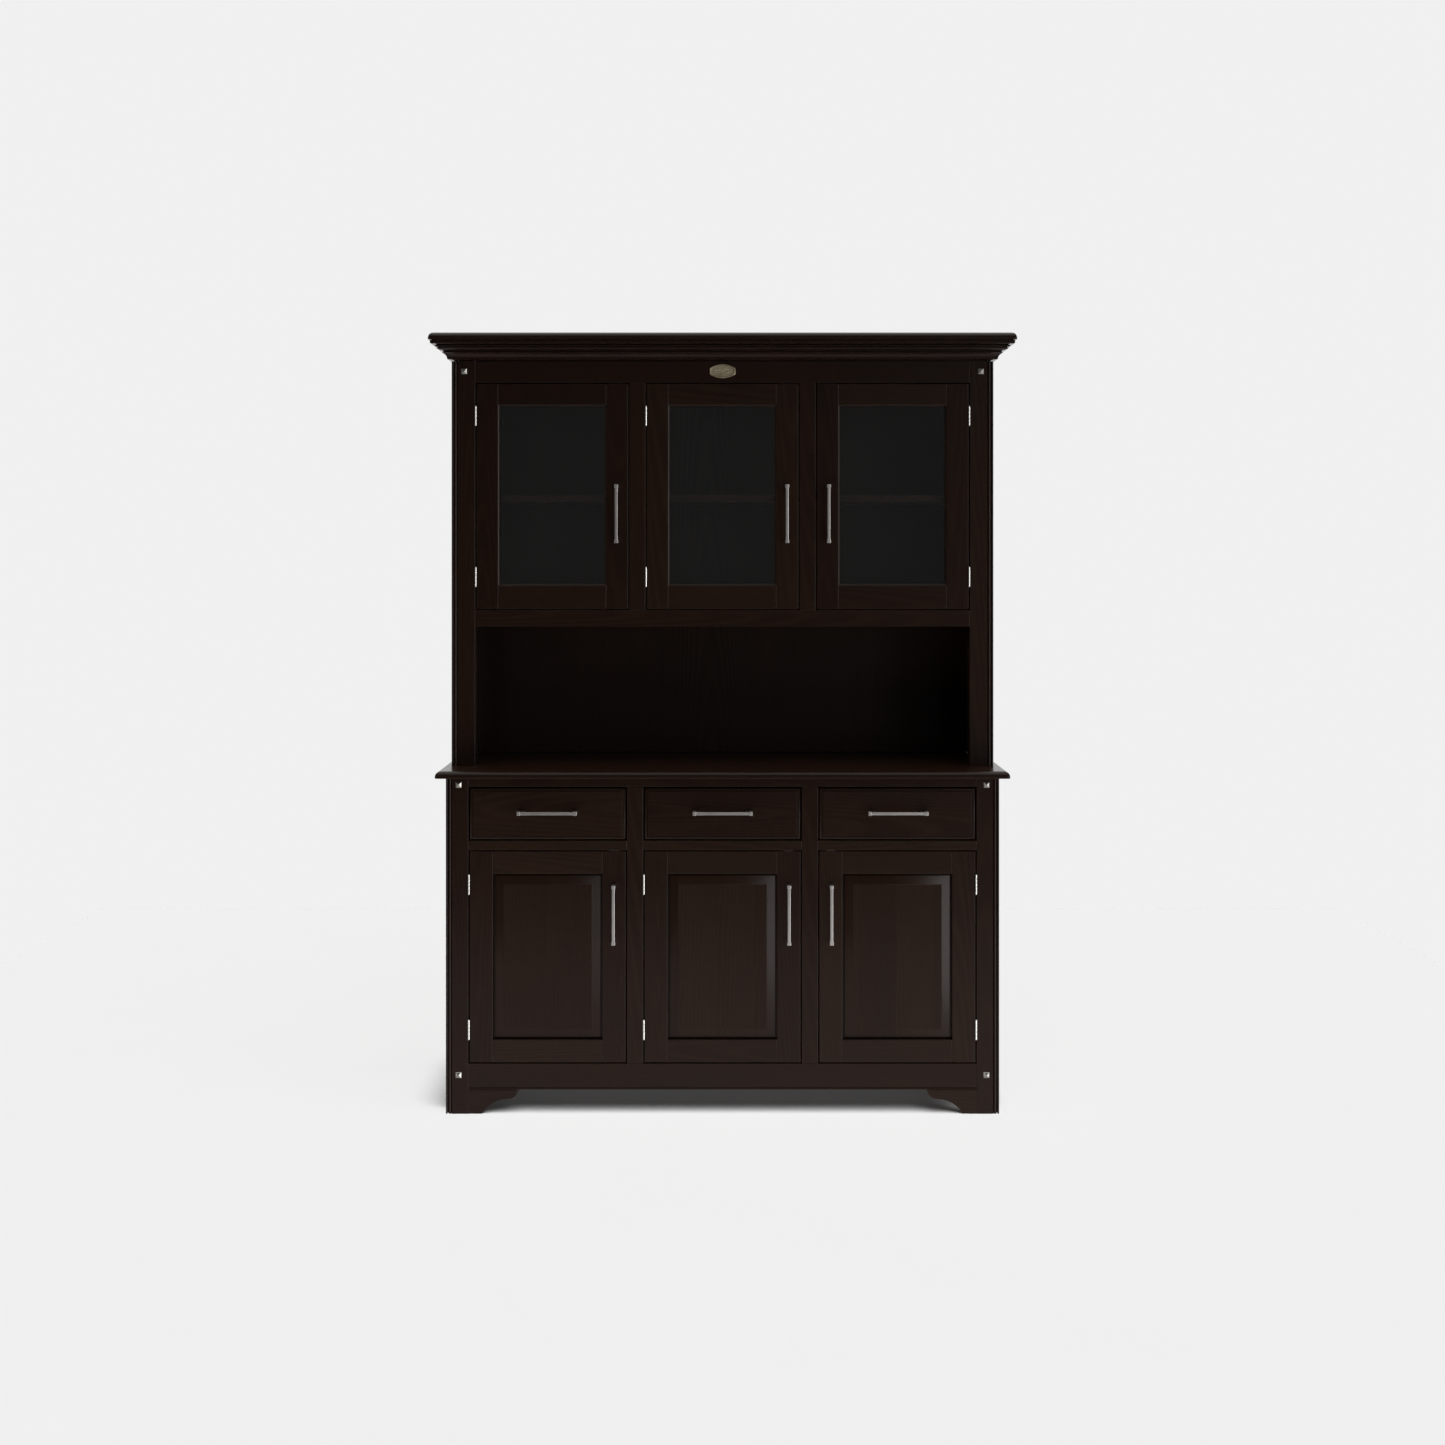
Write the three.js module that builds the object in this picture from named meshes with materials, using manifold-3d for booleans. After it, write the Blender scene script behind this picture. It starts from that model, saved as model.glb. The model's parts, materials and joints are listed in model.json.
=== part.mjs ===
// A two-piece china cabinet: a buffet with drawers and panelled doors, and a glazed hutch on its top.
// Millimetres, +Z up, front towards -Y. The origin is on the floor, under the middle of the outer box.
import * as THREE from 'three';
import { mergeVertices } from 'three/addons/utils/BufferGeometryUtils.js';
import Module from 'manifold-3d';

const wasm = await Module();
wasm.setup();

// Overall size
const bodyWidth = 1412;
const buffetDepth = 450;
const hutchDepth = 350;
const handleProjection = 30;

// Boards
const frameThickness = 20;
const postDepth = 45;
const postRound = 12;
const buffetPostWidth = 58;
const hutchPostWidth = 62;
const midStileWidth = 42;
const endThickness = 24;
const endRecess = 6;
const rearStileWidth = 45;
const shelfThickness = 18;
const backThickness = 6;
const backInset = 6;

// Levels of the buffet
const skirtBottom = 61;
const skirtTop = 128;
const drawerRailBottom = 672;
const drawerRailTop = 696;
const topRailBottom = 834;
const buffetTopUnder = 857;
const buffetHeight = 875;
const buffetShelfTop = 410;
const topOverhang = 25;
const topRound = 9;

// Levels of the hutch
const nicheTop = 1239;
const hutchSill = 1281;
const hutchShelfTop = 1583;
const friezeBottom = 1874;
const crownBottom = 1933;
const capBottom = 1981;
const cabinetHeight = 2000;
const capOverhang = 54;
const capRound = 12;
const crownReach = 48;
const crownFillet = 9;
const crownCove = { start: 12, reach: 34, bottom: 1940, top: 1959 };
const crownOvolo = { start: 37, reach: 45, bottom: 1959, top: 1969 };

// Doors
const doorGap = 3;
const doorThickness = 20;
const glassDoor = { stile: 57, topRail: 55, bottomRail: 62 };
const panelDoor = { stile: 59, topRail: 57, bottomRail: 58 };
const rebateWidth = 8;
const glassSetback = 12;
const glassThickness = 3;
const panelFit = 0.5;
const tongueFront = 9;
const tongueThickness = 6;
const bevelWidth = 23;

// Drawers
const drawerEdge = 10;
const drawerBoxDepth = 385;
const drawerBoxHeight = 118;
const drawerBoxBottom = 697;
const drawerSideClearance = 4;
const drawerWall = 12;
const drawerBase = 6;
const guideHeight = 20;

// Handles, hinges and the plaque
const handleLength = 152;
const handleSection = 10;
const handleLeg = 17;
const handleFillet = 8;
const handleInset = 30;
const hutchHandleLevel = 1532;
const buffetHandleLevel = 511;
const drawerHandleLevel = 769;
const hingeLength = 50;
const hingeFromEnd = 84;
const knuckleRadius = 2.7;
const knuckleForward = 2.8;
const leafThickness = 1.2;
const leafDepth = 18;
const plaqueWidth = 67;
const plaqueHeight = 37;
const plaqueThickness = 3;
const plaqueLevel = 1904;

// Planes and lines that follow from the sizes above
const buffetFront = (handleProjection - buffetDepth) / 2;
const backFace = buffetFront + buffetDepth;
const hutchFront = backFace - hutchDepth;
const halfBody = bodyWidth / 2;
const halfInside = halfBody - endThickness;
const buffetHalfOpening = halfBody - buffetPostWidth;
const hutchHalfOpening = halfBody - hutchPostWidth;
const backPanelFront = backFace - backInset - backThickness;

const stainedPine = () => new THREE.MeshStandardMaterial({ color: 0x2a1f1b, roughness: 0.42, metalness: 0 });
const drawerWood = () => new THREE.MeshStandardMaterial({ color: 0x9a7c5c, roughness: 0.7, metalness: 0 });
const nickel = () => new THREE.MeshStandardMaterial({ color: 0xb4aca8, roughness: 0.35, metalness: 1 });
const agedBrass = () => new THREE.MeshStandardMaterial({ color: 0x8a7c5c, roughness: 0.45, metalness: 1 });
const paneGlass = () => new THREE.MeshStandardMaterial({ color: 0x9aa09e, roughness: 0.05, metalness: 0 });

// Turns a closed geometry into a manifold solid.
function solidOf(geometry) {
  const bare = geometry.index ? geometry.toNonIndexed() : geometry.clone();
  bare.deleteAttribute('normal');
  bare.deleteAttribute('uv');
  const merged = mergeVertices(bare, 1e-4);
  return new wasm.Manifold(new wasm.Mesh({
    numProp: 3,
    vertProperties: merged.attributes.position.array,
    triVerts: new Uint32Array(merged.index.array),
  }));
}

function geometryOf(solid) {
  const mesh = solid.getMesh();
  const geometry = new THREE.BufferGeometry();
  geometry.setAttribute('position', new THREE.BufferAttribute(new Float32Array(mesh.vertProperties), 3));
  geometry.setIndex(new THREE.BufferAttribute(new Uint32Array(mesh.triVerts), 1));
  const flat = geometry.toNonIndexed();
  flat.computeVertexNormals();
  return flat;
}

function joined(...geometries) {
  return geometryOf(geometries.map(solidOf).reduce((whole, piece) => whole.add(piece)));
}

function carved(blank, ...cutters) {
  return geometryOf(cutters.map(solidOf).reduce((rest, cutter) => rest.subtract(cutter), solidOf(blank)));
}

// A board between two corners, given as [low, high] along each axis.
function board([x0, x1], [y0, y1], [z0, z1]) {
  const geometry = new THREE.BoxGeometry(x1 - x0, y1 - y0, z1 - z0);
  return geometry.translate((x0 + x1) / 2, (y0 + y1) / 2, (z0 + z1) / 2);
}

function outline(points) {
  return new THREE.Shape(points.map(([u, v]) => new THREE.Vector2(u, v)));
}

function rectangle([u0, u1], [v0, v1]) {
  return [[u0, v0], [u1, v0], [u1, v1], [u0, v1]];
}

function extruded(shape, depth, curveSegments = 5) {
  return new THREE.ExtrudeGeometry(shape, { depth, bevelEnabled: false, curveSegments });
}

// An outline in X and Z, extruded backwards from y0.
function uprightXZ(shape, y0, depth, curveSegments) {
  return extruded(shape, depth, curveSegments).rotateX(Math.PI / 2).translate(0, y0 + depth, 0);
}

// Skins a stack of closed rings that all have the same number of points, and caps both ends.
function lofted(rings, capOutline) {
  const count = rings[0].length;
  const positions = rings.flat(2);
  const faces = [];
  for (let r = 0; r + 1 < rings.length; r += 1) {
    for (let i = 0; i < count; i += 1) {
      const j = (i + 1) % count;
      const [a, b, c, d] = [r * count + i, r * count + j, (r + 1) * count + j, (r + 1) * count + i];
      faces.push([a, b, c], [a, c, d]);
    }
  }
  const last = (rings.length - 1) * count;
  const contour = capOutline.map(([u, v]) => new THREE.Vector2(u, v));
  for (const [a, b, c] of THREE.ShapeUtils.triangulateShape(contour, [])) {
    faces.push([a, c, b], [last + a, last + b, last + c]);
  }
  const geometry = new THREE.BufferGeometry();
  geometry.setAttribute('position', new THREE.BufferAttribute(new Float32Array(positions), 3));
  geometry.setIndex(faces.flat());
  if (solidOf(geometry).volume() < 0) {
    geometry.setIndex(faces.map(([a, b, c]) => [a, c, b]).flat());
  }
  const flat = geometry.toNonIndexed();
  flat.computeVertexNormals();
  return flat;
}

// Steps [inset, rise] of a quarter round of the given radius, from its upright side to its flat side.
function quarterRound(radius, steps = 4) {
  const points = [];
  for (let i = 0; i <= steps; i += 1) {
    const angle = (Math.PI / 2) * (i / steps);
    points.push([radius * (1 - Math.cos(angle)), radius * Math.sin(angle)]);
  }
  return points;
}

// A flat top whose front and side edges are rounded over and whose back edge is square.
function roundedTop(halfWidth, front, bottom, height, radius) {
  const levels = [[0, bottom]];
  for (const [inset, rise] of quarterRound(radius)) {
    levels.push([inset, bottom + height - radius + rise]);
  }
  const corners = rectangle([-halfWidth, halfWidth], [front, backFace]);
  const rings = levels.map(([inset, z]) => rectangle(
    [-halfWidth + inset, halfWidth - inset],
    [front + inset, backFace],
  ).map(([x, y]) => [x, y, z]));
  return lofted(rings, corners);
}

// A panel that steps back towards its edges: each level is [inset from the edge, y].
function steppedPanel(width, height, levels) {
  const rings = levels.map(([inset, y]) => rectangle(
    [inset, width - inset],
    [inset, height - inset],
  ).map(([x, z]) => [x, y, z]));
  return lofted(rings, rectangle([0, width], [0, height]));
}

const cabinet = new THREE.Group();

function place(parent, name, geometry, material) {
  const mesh = new THREE.Mesh(geometry, material);
  mesh.name = name;
  parent.add(mesh);
  return mesh;
}

const sides = [
  { name: 'left', sign: -1 },
  { name: 'right', sign: 1 },
];

// [low, high] between two distances from the middle, on one side of the cabinet.
function span(sign, inner, outer) {
  return sign > 0 ? [inner, outer] : [-outer, -inner];
}

// A corner post whose outer front edge is rounded.
function cornerPost(sign, width, front, [bottom, top]) {
  const inner = sign * (halfBody - width);
  const outer = sign * halfBody;
  const shape = new THREE.Shape();
  shape.moveTo(inner, front);
  shape.lineTo(outer - sign * postRound, front);
  shape.quadraticCurveTo(outer, front, outer, front + postRound);
  shape.lineTo(outer, front + postDepth);
  shape.lineTo(inner, front + postDepth);
  shape.closePath();
  return extruded(shape, top - bottom, 5).translate(0, 0, bottom);
}

// The shaped lower edge of a bracket foot, as curve points [distance from the leg, height].
const bracketToe = [34, 0];
const bracketSweep = [60, 36];
const bracketShoulder = [98, 37];
const bracketNose = [125, 38];
const bracketTop = [126, skirtBottom];

// Draws that edge away from a leg, from the floor up to the skirt, or towards one, back down.
function bracketEdge(path, leg, direction, rising) {
  const order = rising
    ? [bracketToe, bracketSweep, bracketShoulder, bracketNose, bracketTop]
    : [bracketTop, bracketNose, bracketShoulder, bracketSweep, bracketToe];
  const [start, firstBend, middle, secondBend, end] = order.map(([out, z]) => [leg + direction * out, z]);
  path.lineTo(...start);
  path.quadraticCurveTo(...firstBend, ...middle);
  path.quadraticCurveTo(...secondBend, ...end);
}

function bracketFoot(sign) {
  const shape = new THREE.Shape();
  shape.moveTo(sign * buffetHalfOpening, skirtBottom);
  shape.lineTo(sign * buffetHalfOpening, 0);
  bracketEdge(shape, sign * buffetHalfOpening, -sign, true);
  shape.closePath();
  return uprightXZ(shape, buffetFront, frameThickness, 6);
}

// An end of the buffet: skirted at the floor, with a sunk field between its rails and rear stile.
function buffetEnd(sign) {
  const start = buffetFront + postDepth;
  const rearLeg = backFace - rearStileWidth;
  const shape = new THREE.Shape();
  shape.moveTo(start, buffetTopUnder);
  shape.lineTo(start, 0);
  bracketEdge(shape, start, 1, true);
  bracketEdge(shape, rearLeg, -1, false);
  shape.lineTo(backFace, 0);
  shape.lineTo(backFace, buffetTopUnder);
  shape.closePath();
  const slab = extruded(shape, endThickness, 6);
  slab.applyMatrix4(new THREE.Matrix4().makeBasis(
    new THREE.Vector3(0, 1, 0),
    new THREE.Vector3(0, 0, 1),
    new THREE.Vector3(1, 0, 0),
  ));
  slab.translate(span(sign, halfInside, halfBody)[0], 0, 0);
  const recess = board(
    span(sign, halfBody - endRecess, halfBody + 1),
    [start - 1, rearLeg],
    [skirtTop, buffetTopUnder - 60],
  );
  return carved(slab, recess);
}

function hutchEnd(sign) {
  const start = hutchFront + postDepth;
  const slab = board(span(sign, halfInside, halfBody), [start, backFace], [buffetHeight, capBottom]);
  const recess = board(
    span(sign, halfBody - endRecess, halfBody + 1),
    [start - 1, backFace - rearStileWidth],
    [buffetHeight + 60, friezeBottom],
  );
  return carved(slab, recess);
}

// The three equal bays between two end members: their left and right edges.
function bays(halfOpening) {
  const width = (2 * halfOpening - 2 * midStileWidth) / 3;
  return ['left', 'centre', 'right'].map((name, i) => {
    const start = -halfOpening + i * (width + midStileWidth);
    return { name, start, end: start + width };
  });
}

const buffetBays = bays(buffetHalfOpening);
const hutchBays = bays(hutchHalfOpening);

// A face frame: a board in X and Z with an opening for every bay and row.
function faceFrame(halfWidth, levels, frameBays, rows, front) {
  const openings = frameBays.flatMap((bay) => rows.map((row) => board(
    [bay.start, bay.end],
    [front - 1, front + frameThickness + 1],
    row,
  )));
  return carved(board([-halfWidth, halfWidth], [front, front + frameThickness], levels), ...openings);
}

function buffetFaceFrame() {
  const rows = [[skirtTop, drawerRailBottom], [drawerRailTop, topRailBottom]];
  const frame = faceFrame(buffetHalfOpening, [skirtBottom, buffetTopUnder], buffetBays, rows, buffetFront);
  const beadGroove = board(
    [-buffetHalfOpening - 1, buffetHalfOpening + 1],
    [buffetFront - 1, buffetFront + 2],
    [skirtBottom + 5, skirtBottom + 8],
  );
  return carved(frame, beadGroove);
}

// The hutch frame stands on two end posts and is open below its sill rail.
function hutchFaceFrame() {
  const rails = faceFrame(
    hutchHalfOpening,
    [nicheTop, capBottom],
    hutchBays,
    [[hutchSill, friezeBottom]],
    hutchFront,
  );
  const posts = sides.map(({ sign }) => cornerPost(sign, hutchPostWidth, hutchFront, [buffetHeight, capBottom]));
  return joined(rails, ...posts);
}

// A horizontal board inside the carcass, notched round the two front posts.
function notchedBoard(halfOpening, front, [bottom, top]) {
  const behindPosts = front + postDepth;
  const behindFrame = front + frameThickness;
  const shape = outline([
    [-halfOpening, behindFrame],
    [halfOpening, behindFrame],
    [halfOpening, behindPosts],
    [halfInside, behindPosts],
    [halfInside, backPanelFront],
    [-halfInside, backPanelFront],
    [-halfInside, behindPosts],
    [-halfOpening, behindPosts],
  ]);
  return extruded(shape, top - bottom).translate(0, 0, bottom);
}

// The dust board under the drawers, with a guide strip on each side of every drawer.
function drawerDeck() {
  const deck = notchedBoard(buffetHalfOpening, buffetFront, [drawerRailTop - shelfThickness, drawerRailTop]);
  const guideLevel = [drawerRailTop, drawerRailTop + guideHeight];
  const middleRun = [buffetFront + frameThickness, backPanelFront - 10];
  const endRun = [buffetFront + postDepth, backPanelFront - 10];
  const guides = [
    board([buffetBays[0].end, buffetBays[1].start], middleRun, guideLevel),
    board([buffetBays[1].end, buffetBays[2].start], middleRun, guideLevel),
    ...sides.map(({ sign }) => board(span(sign, buffetHalfOpening, halfInside), endRun, guideLevel)),
  ];
  return joined(deck, ...guides);
}

function shelf(front, top) {
  return board([-halfInside, halfInside], [front + postDepth, backPanelFront], [top - shelfThickness, top]);
}

function backPanel([bottom, top]) {
  return board([-halfInside, halfInside], [backPanelFront, backPanelFront + backThickness], [bottom, top]);
}

// Profile of the crown moulding as [projection from the body, height]: a fillet, a cove, an ovolo and a fillet.
function crownProfile() {
  const quarter = (steps) => Array.from({ length: steps + 1 }, (_, i) => (Math.PI / 2) * (i / steps));
  const cove = quarter(5).map((angle) => [
    crownCove.reach - (crownCove.reach - crownCove.start) * Math.cos(angle),
    crownCove.bottom + (crownCove.top - crownCove.bottom) * Math.sin(angle),
  ]);
  const ovolo = quarter(4).map((angle) => [
    crownOvolo.start + (crownOvolo.reach - crownOvolo.start) * Math.sin(angle),
    crownOvolo.top - (crownOvolo.top - crownOvolo.bottom) * Math.cos(angle),
  ]);
  return [
    [0, crownBottom],
    [crownFillet, crownBottom],
    [crownFillet, crownCove.bottom - 1],
    ...cove,
    ...ovolo,
    [crownReach, crownOvolo.top],
    [crownReach, capBottom],
    [0, capBottom],
  ];
}

// The crown runs along the front and back along both sides, mitred at the two front corners.
function crown() {
  const profile = crownProfile();
  const rings = [
    profile.map(([out, z]) => [-halfBody - out, backFace, z]),
    profile.map(([out, z]) => [-halfBody - out, hutchFront - out, z]),
    profile.map(([out, z]) => [halfBody + out, hutchFront - out, z]),
    profile.map(([out, z]) => [halfBody + out, backFace, z]),
  ];
  return lofted(rings, profile);
}

// A barrel-shaped plate: bowed above and below, cut straight at both ends.
function plaque() {
  const half = plaqueWidth / 2;
  const end = plaqueHeight * 0.3;
  const crest = plaqueHeight / 2 + (plaqueHeight / 2 - end);
  const shape = new THREE.Shape();
  shape.moveTo(-half, -end);
  shape.quadraticCurveTo(0, -crest, half, -end);
  shape.lineTo(half, end);
  shape.quadraticCurveTo(0, crest, -half, end);
  shape.closePath();
  return uprightXZ(shape, hutchFront - plaqueThickness, plaqueThickness, 10).translate(0, 0, plaqueLevel);
}

// A door frame with its lower left front corner at the origin, rebated or grooved for its infill.
function doorFrame(width, height, { stile, topRail, bottomRail }, infillFront, infillBack) {
  const clear = [[stile, width - stile], [bottomRail, height - topRail]];
  const [slotX, slotZ] = clear.map(([low, high]) => [low - rebateWidth, high + rebateWidth]);
  return carved(
    board([0, width], [0, doorThickness], [0, height]),
    board(clear[0], [-1, doorThickness + 1], clear[1]),
    board(slotX, [infillFront, infillBack], slotZ),
  );
}

// The pane is glazed from the back, with a little room round it.
function glassPane(width, height, { stile, topRail, bottomRail }) {
  const reach = rebateWidth - 1;
  return board(
    [stile - reach, width - stile + reach],
    [glassSetback + panelFit, glassSetback + panelFit + glassThickness],
    [bottomRail - reach, height - topRail + reach],
  );
}

// A raised panel: its tongue sits in the frame's groove and its field stands forward of a wide bevel.
function raisedPanel(width, height, { stile, topRail, bottomRail }) {
  const reach = rebateWidth - 1;
  const tongueBack = tongueFront + tongueThickness;
  const panel = steppedPanel(
    width - 2 * stile + 2 * reach,
    height - topRail - bottomRail + 2 * reach,
    [
      [0, tongueBack],
      [0, tongueFront],
      [reach + 1, tongueFront],
      [reach + bevelWidth, 2.5],
      [reach + bevelWidth, 1],
    ],
  );
  return panel.translate(stile - reach, 0, bottomRail - reach);
}

// A bar pull along Z, standing on two legs that blend into the bar. Its foot plane is y = 0.
function handleGeometry() {
  const half = handleLength / 2;
  const inside = -handleProjection + handleSection;
  const shape = new THREE.Shape();
  shape.moveTo(-half, 0);
  shape.lineTo(-half, -handleProjection);
  shape.lineTo(half, -handleProjection);
  shape.lineTo(half, 0);
  shape.lineTo(half - handleLeg, 0);
  shape.lineTo(half - handleLeg, inside + handleFillet);
  shape.quadraticCurveTo(half - handleLeg, inside, half - handleLeg - handleFillet, inside);
  shape.lineTo(-half + handleLeg + handleFillet, inside);
  shape.quadraticCurveTo(-half + handleLeg, inside, -half + handleLeg, inside + handleFillet);
  shape.lineTo(-half + handleLeg, 0);
  shape.closePath();
  return extruded(shape, handleSection, 4).translate(0, 0, -handleSection / 2);
}

function uprightHandle() {
  return handleGeometry().rotateY(Math.PI / 2);
}

// A butt hinge: a knuckle on the door's turning axis and the leaf fixed to the frame.
// The origin is on the frame's front arris, and the leaf lies on the frame's edge on the +X side.
function hingeGeometry() {
  const knuckle = new THREE.CylinderGeometry(knuckleRadius, knuckleRadius, hingeLength, 16);
  knuckle.rotateX(Math.PI / 2).translate(doorGap / 2, -knuckleForward, 0);
  const leaf = board([0, leafThickness], [-knuckleForward, leafDepth], [-hingeLength / 2, hingeLength / 2]);
  return joined(knuckle, leaf);
}

// Hangs one inset door in its bay: the frame, its infill, a handle and two hinges.
// The left and centre doors turn on their left edge, and the right door on its right edge.
function hangDoor(unit, bay, [bottom, top], front, make) {
  const name = `${unit}_door_${bay.name}`;
  const width = bay.end - bay.start - 2 * doorGap;
  const height = top - bottom - 2 * doorGap;
  const hingedRight = bay.name === 'right';
  const door = new THREE.Group();
  door.position.set(bay.start + doorGap, front, bottom + doorGap);
  cabinet.add(door);
  place(door, `${name}_frame`, make.frame(width, height), stainedPine());
  place(door, `${name}_${make.infillName}`, make.infill(width, height), make.infillMaterial());
  const handle = place(door, `${name}_handle`, uprightHandle(), nickel());
  handle.position.set(hingedRight ? handleInset : width - handleInset, 0, make.handleLevel - bottom - doorGap);
  for (const [end, level] of [['lower', hingeFromEnd], ['upper', height - hingeFromEnd]]) {
    const geometry = hingedRight ? hingeGeometry().rotateY(Math.PI) : hingeGeometry();
    const hinge = place(cabinet, `${unit}_hinge_${bay.name}_${end}`, geometry, nickel());
    hinge.position.set(hingedRight ? bay.end : bay.start, front, bottom + doorGap + level);
  }
}

function drawerFront(width, height) {
  const levels = [[0, frameThickness]];
  for (const [inset, rise] of quarterRound(drawerEdge - 1.5, 4)) {
    levels.push([inset, drawerEdge - rise]);
  }
  levels.push([drawerEdge + 1.5, 1.5], [drawerEdge + 1.5, 0]);
  return steppedPanel(width, height, levels);
}

function drawerBox(width) {
  const inner = board(
    [drawerWall, width - drawerWall],
    [drawerWall, drawerBoxDepth - drawerWall],
    [drawerBase, drawerBoxHeight + 1],
  );
  return carved(board([0, width], [0, drawerBoxDepth], [0, drawerBoxHeight]), inner);
}

function fitDrawer(bay) {
  const name = `drawer_${bay.name}`;
  const width = bay.end - bay.start - 2 * doorGap;
  const height = topRailBottom - drawerRailTop - 2 * doorGap;
  const drawer = new THREE.Group();
  drawer.position.set(bay.start, buffetFront, 0);
  cabinet.add(drawer);
  const front = place(drawer, `${name}_front`, drawerFront(width, height), stainedPine());
  front.position.set(doorGap, 0, drawerRailTop + doorGap);
  const boxWidth = bay.end - bay.start - 2 * drawerSideClearance;
  const box = place(drawer, `${name}_box`, drawerBox(boxWidth), drawerWood());
  box.position.set(drawerSideClearance, frameThickness, drawerBoxBottom);
  const handle = place(drawer, `${name}_handle`, handleGeometry(), nickel());
  handle.position.set((bay.end - bay.start) / 2, 0, drawerHandleLevel);
}

// Buffet carcass
place(cabinet, 'buffet_top', roundedTop(
  halfBody + topOverhang,
  buffetFront - topOverhang,
  buffetTopUnder,
  buffetHeight - buffetTopUnder,
  topRound,
), stainedPine());
for (const { name, sign } of sides) {
  const post = cornerPost(sign, buffetPostWidth, buffetFront, [0, buffetTopUnder]);
  place(cabinet, `buffet_post_${name}`, post, stainedPine());
  place(cabinet, `buffet_end_${name}`, buffetEnd(sign), stainedPine());
  place(cabinet, `bracket_foot_${name}`, bracketFoot(sign), stainedPine());
}
place(cabinet, 'buffet_face_frame', buffetFaceFrame(), stainedPine());
place(cabinet, 'buffet_floor',
  notchedBoard(buffetHalfOpening, buffetFront, [skirtTop - shelfThickness, skirtTop]), stainedPine());
place(cabinet, 'drawer_deck', drawerDeck(), stainedPine());
place(cabinet, 'buffet_shelf', shelf(buffetFront, buffetShelfTop), stainedPine());
place(cabinet, 'buffet_back', backPanel([skirtBottom, buffetTopUnder]), stainedPine());

// Hutch carcass
place(cabinet, 'hutch_face_frame', hutchFaceFrame(), stainedPine());
for (const { name, sign } of sides) {
  place(cabinet, `hutch_end_${name}`, hutchEnd(sign), stainedPine());
}
place(cabinet, 'hutch_floor',
  notchedBoard(hutchHalfOpening, hutchFront, [hutchSill - shelfThickness, hutchSill]), stainedPine());
place(cabinet, 'hutch_shelf', shelf(hutchFront, hutchShelfTop), stainedPine());
place(cabinet, 'hutch_back', backPanel([buffetHeight, capBottom]), stainedPine());
place(cabinet, 'crown_moulding', crown(), stainedPine());
place(cabinet, 'cornice_cap', roundedTop(
  halfBody + capOverhang,
  hutchFront - capOverhang,
  capBottom,
  cabinetHeight - capBottom,
  capRound,
), stainedPine());
place(cabinet, 'frieze_plaque', plaque(), agedBrass());

// Doors and drawers
for (const bay of hutchBays) {
  hangDoor('hutch', bay, [hutchSill, friezeBottom], hutchFront, {
    frame: (width, height) => doorFrame(width, height, glassDoor, glassSetback, doorThickness + 1),
    infill: (width, height) => glassPane(width, height, glassDoor),
    infillName: 'glass',
    infillMaterial: paneGlass,
    handleLevel: hutchHandleLevel,
  });
}
for (const bay of buffetBays) {
  const grooveBack = tongueFront + tongueThickness + panelFit;
  hangDoor('buffet', bay, [skirtTop, drawerRailBottom], buffetFront, {
    frame: (width, height) => doorFrame(width, height, panelDoor, tongueFront - panelFit, grooveBack),
    infill: (width, height) => raisedPanel(width, height, panelDoor),
    infillName: 'panel',
    infillMaterial: stainedPine,
    handleLevel: buffetHandleLevel,
  });
  fitDrawer(bay);
}

export default cabinet;
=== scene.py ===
"""A two-piece china cabinet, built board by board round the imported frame. Metres, +Z up, front towards -Y."""

import itertools
import json
import math
import random

import bmesh
import bpy
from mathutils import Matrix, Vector

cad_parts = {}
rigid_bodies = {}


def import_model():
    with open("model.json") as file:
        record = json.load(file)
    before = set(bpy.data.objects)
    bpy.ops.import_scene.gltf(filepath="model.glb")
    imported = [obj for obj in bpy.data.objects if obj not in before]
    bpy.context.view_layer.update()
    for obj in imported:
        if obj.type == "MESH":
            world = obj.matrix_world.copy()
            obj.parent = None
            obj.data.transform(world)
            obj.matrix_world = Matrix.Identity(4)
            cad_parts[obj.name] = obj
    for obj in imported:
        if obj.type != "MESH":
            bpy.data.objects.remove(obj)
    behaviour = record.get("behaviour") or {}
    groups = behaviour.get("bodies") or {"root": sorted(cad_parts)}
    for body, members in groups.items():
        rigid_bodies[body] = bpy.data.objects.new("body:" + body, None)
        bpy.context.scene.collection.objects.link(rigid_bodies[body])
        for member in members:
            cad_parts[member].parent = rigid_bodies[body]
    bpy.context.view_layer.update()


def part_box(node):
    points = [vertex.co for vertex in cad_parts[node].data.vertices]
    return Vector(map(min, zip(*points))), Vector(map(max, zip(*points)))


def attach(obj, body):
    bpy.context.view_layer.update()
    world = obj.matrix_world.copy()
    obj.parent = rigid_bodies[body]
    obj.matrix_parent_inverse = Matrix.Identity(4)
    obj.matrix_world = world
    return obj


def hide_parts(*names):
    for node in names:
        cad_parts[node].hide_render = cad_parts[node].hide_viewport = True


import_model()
rng = random.Random(20)

BAYS = ("left", "centre", "right")
SIDES = (("left", -1), ("right", 1))

# Boards
board_thickness = 0.020
post_depth = 0.045
end_recess = 0.006
rear_stile = 0.045
end_rail = 0.060
arris = 0.0014
drawer_wood_edge = 0.0004
sill_height = 0.042
guide_height = 0.020
guide_end = 0.010
glue_block = (0.040, 0.025)
crown_foot = 1.9336
crown_quirk = (crown_foot - 0.0040, crown_foot - 0.0004)
quirk_depth = 0.0045

# Doors and drawers
gap = 0.003
glass_door = {"stile": 0.057, "top": 0.055, "bottom": 0.062}
panel_door = {"stile": 0.059, "top": 0.057, "bottom": 0.058}
rebate = 0.008
glass_front = 0.012
groove = (0.0085, 0.0155)
drawer_wall = 0.012
drawer_base = 0.006
drawer_fingers = 7

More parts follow.
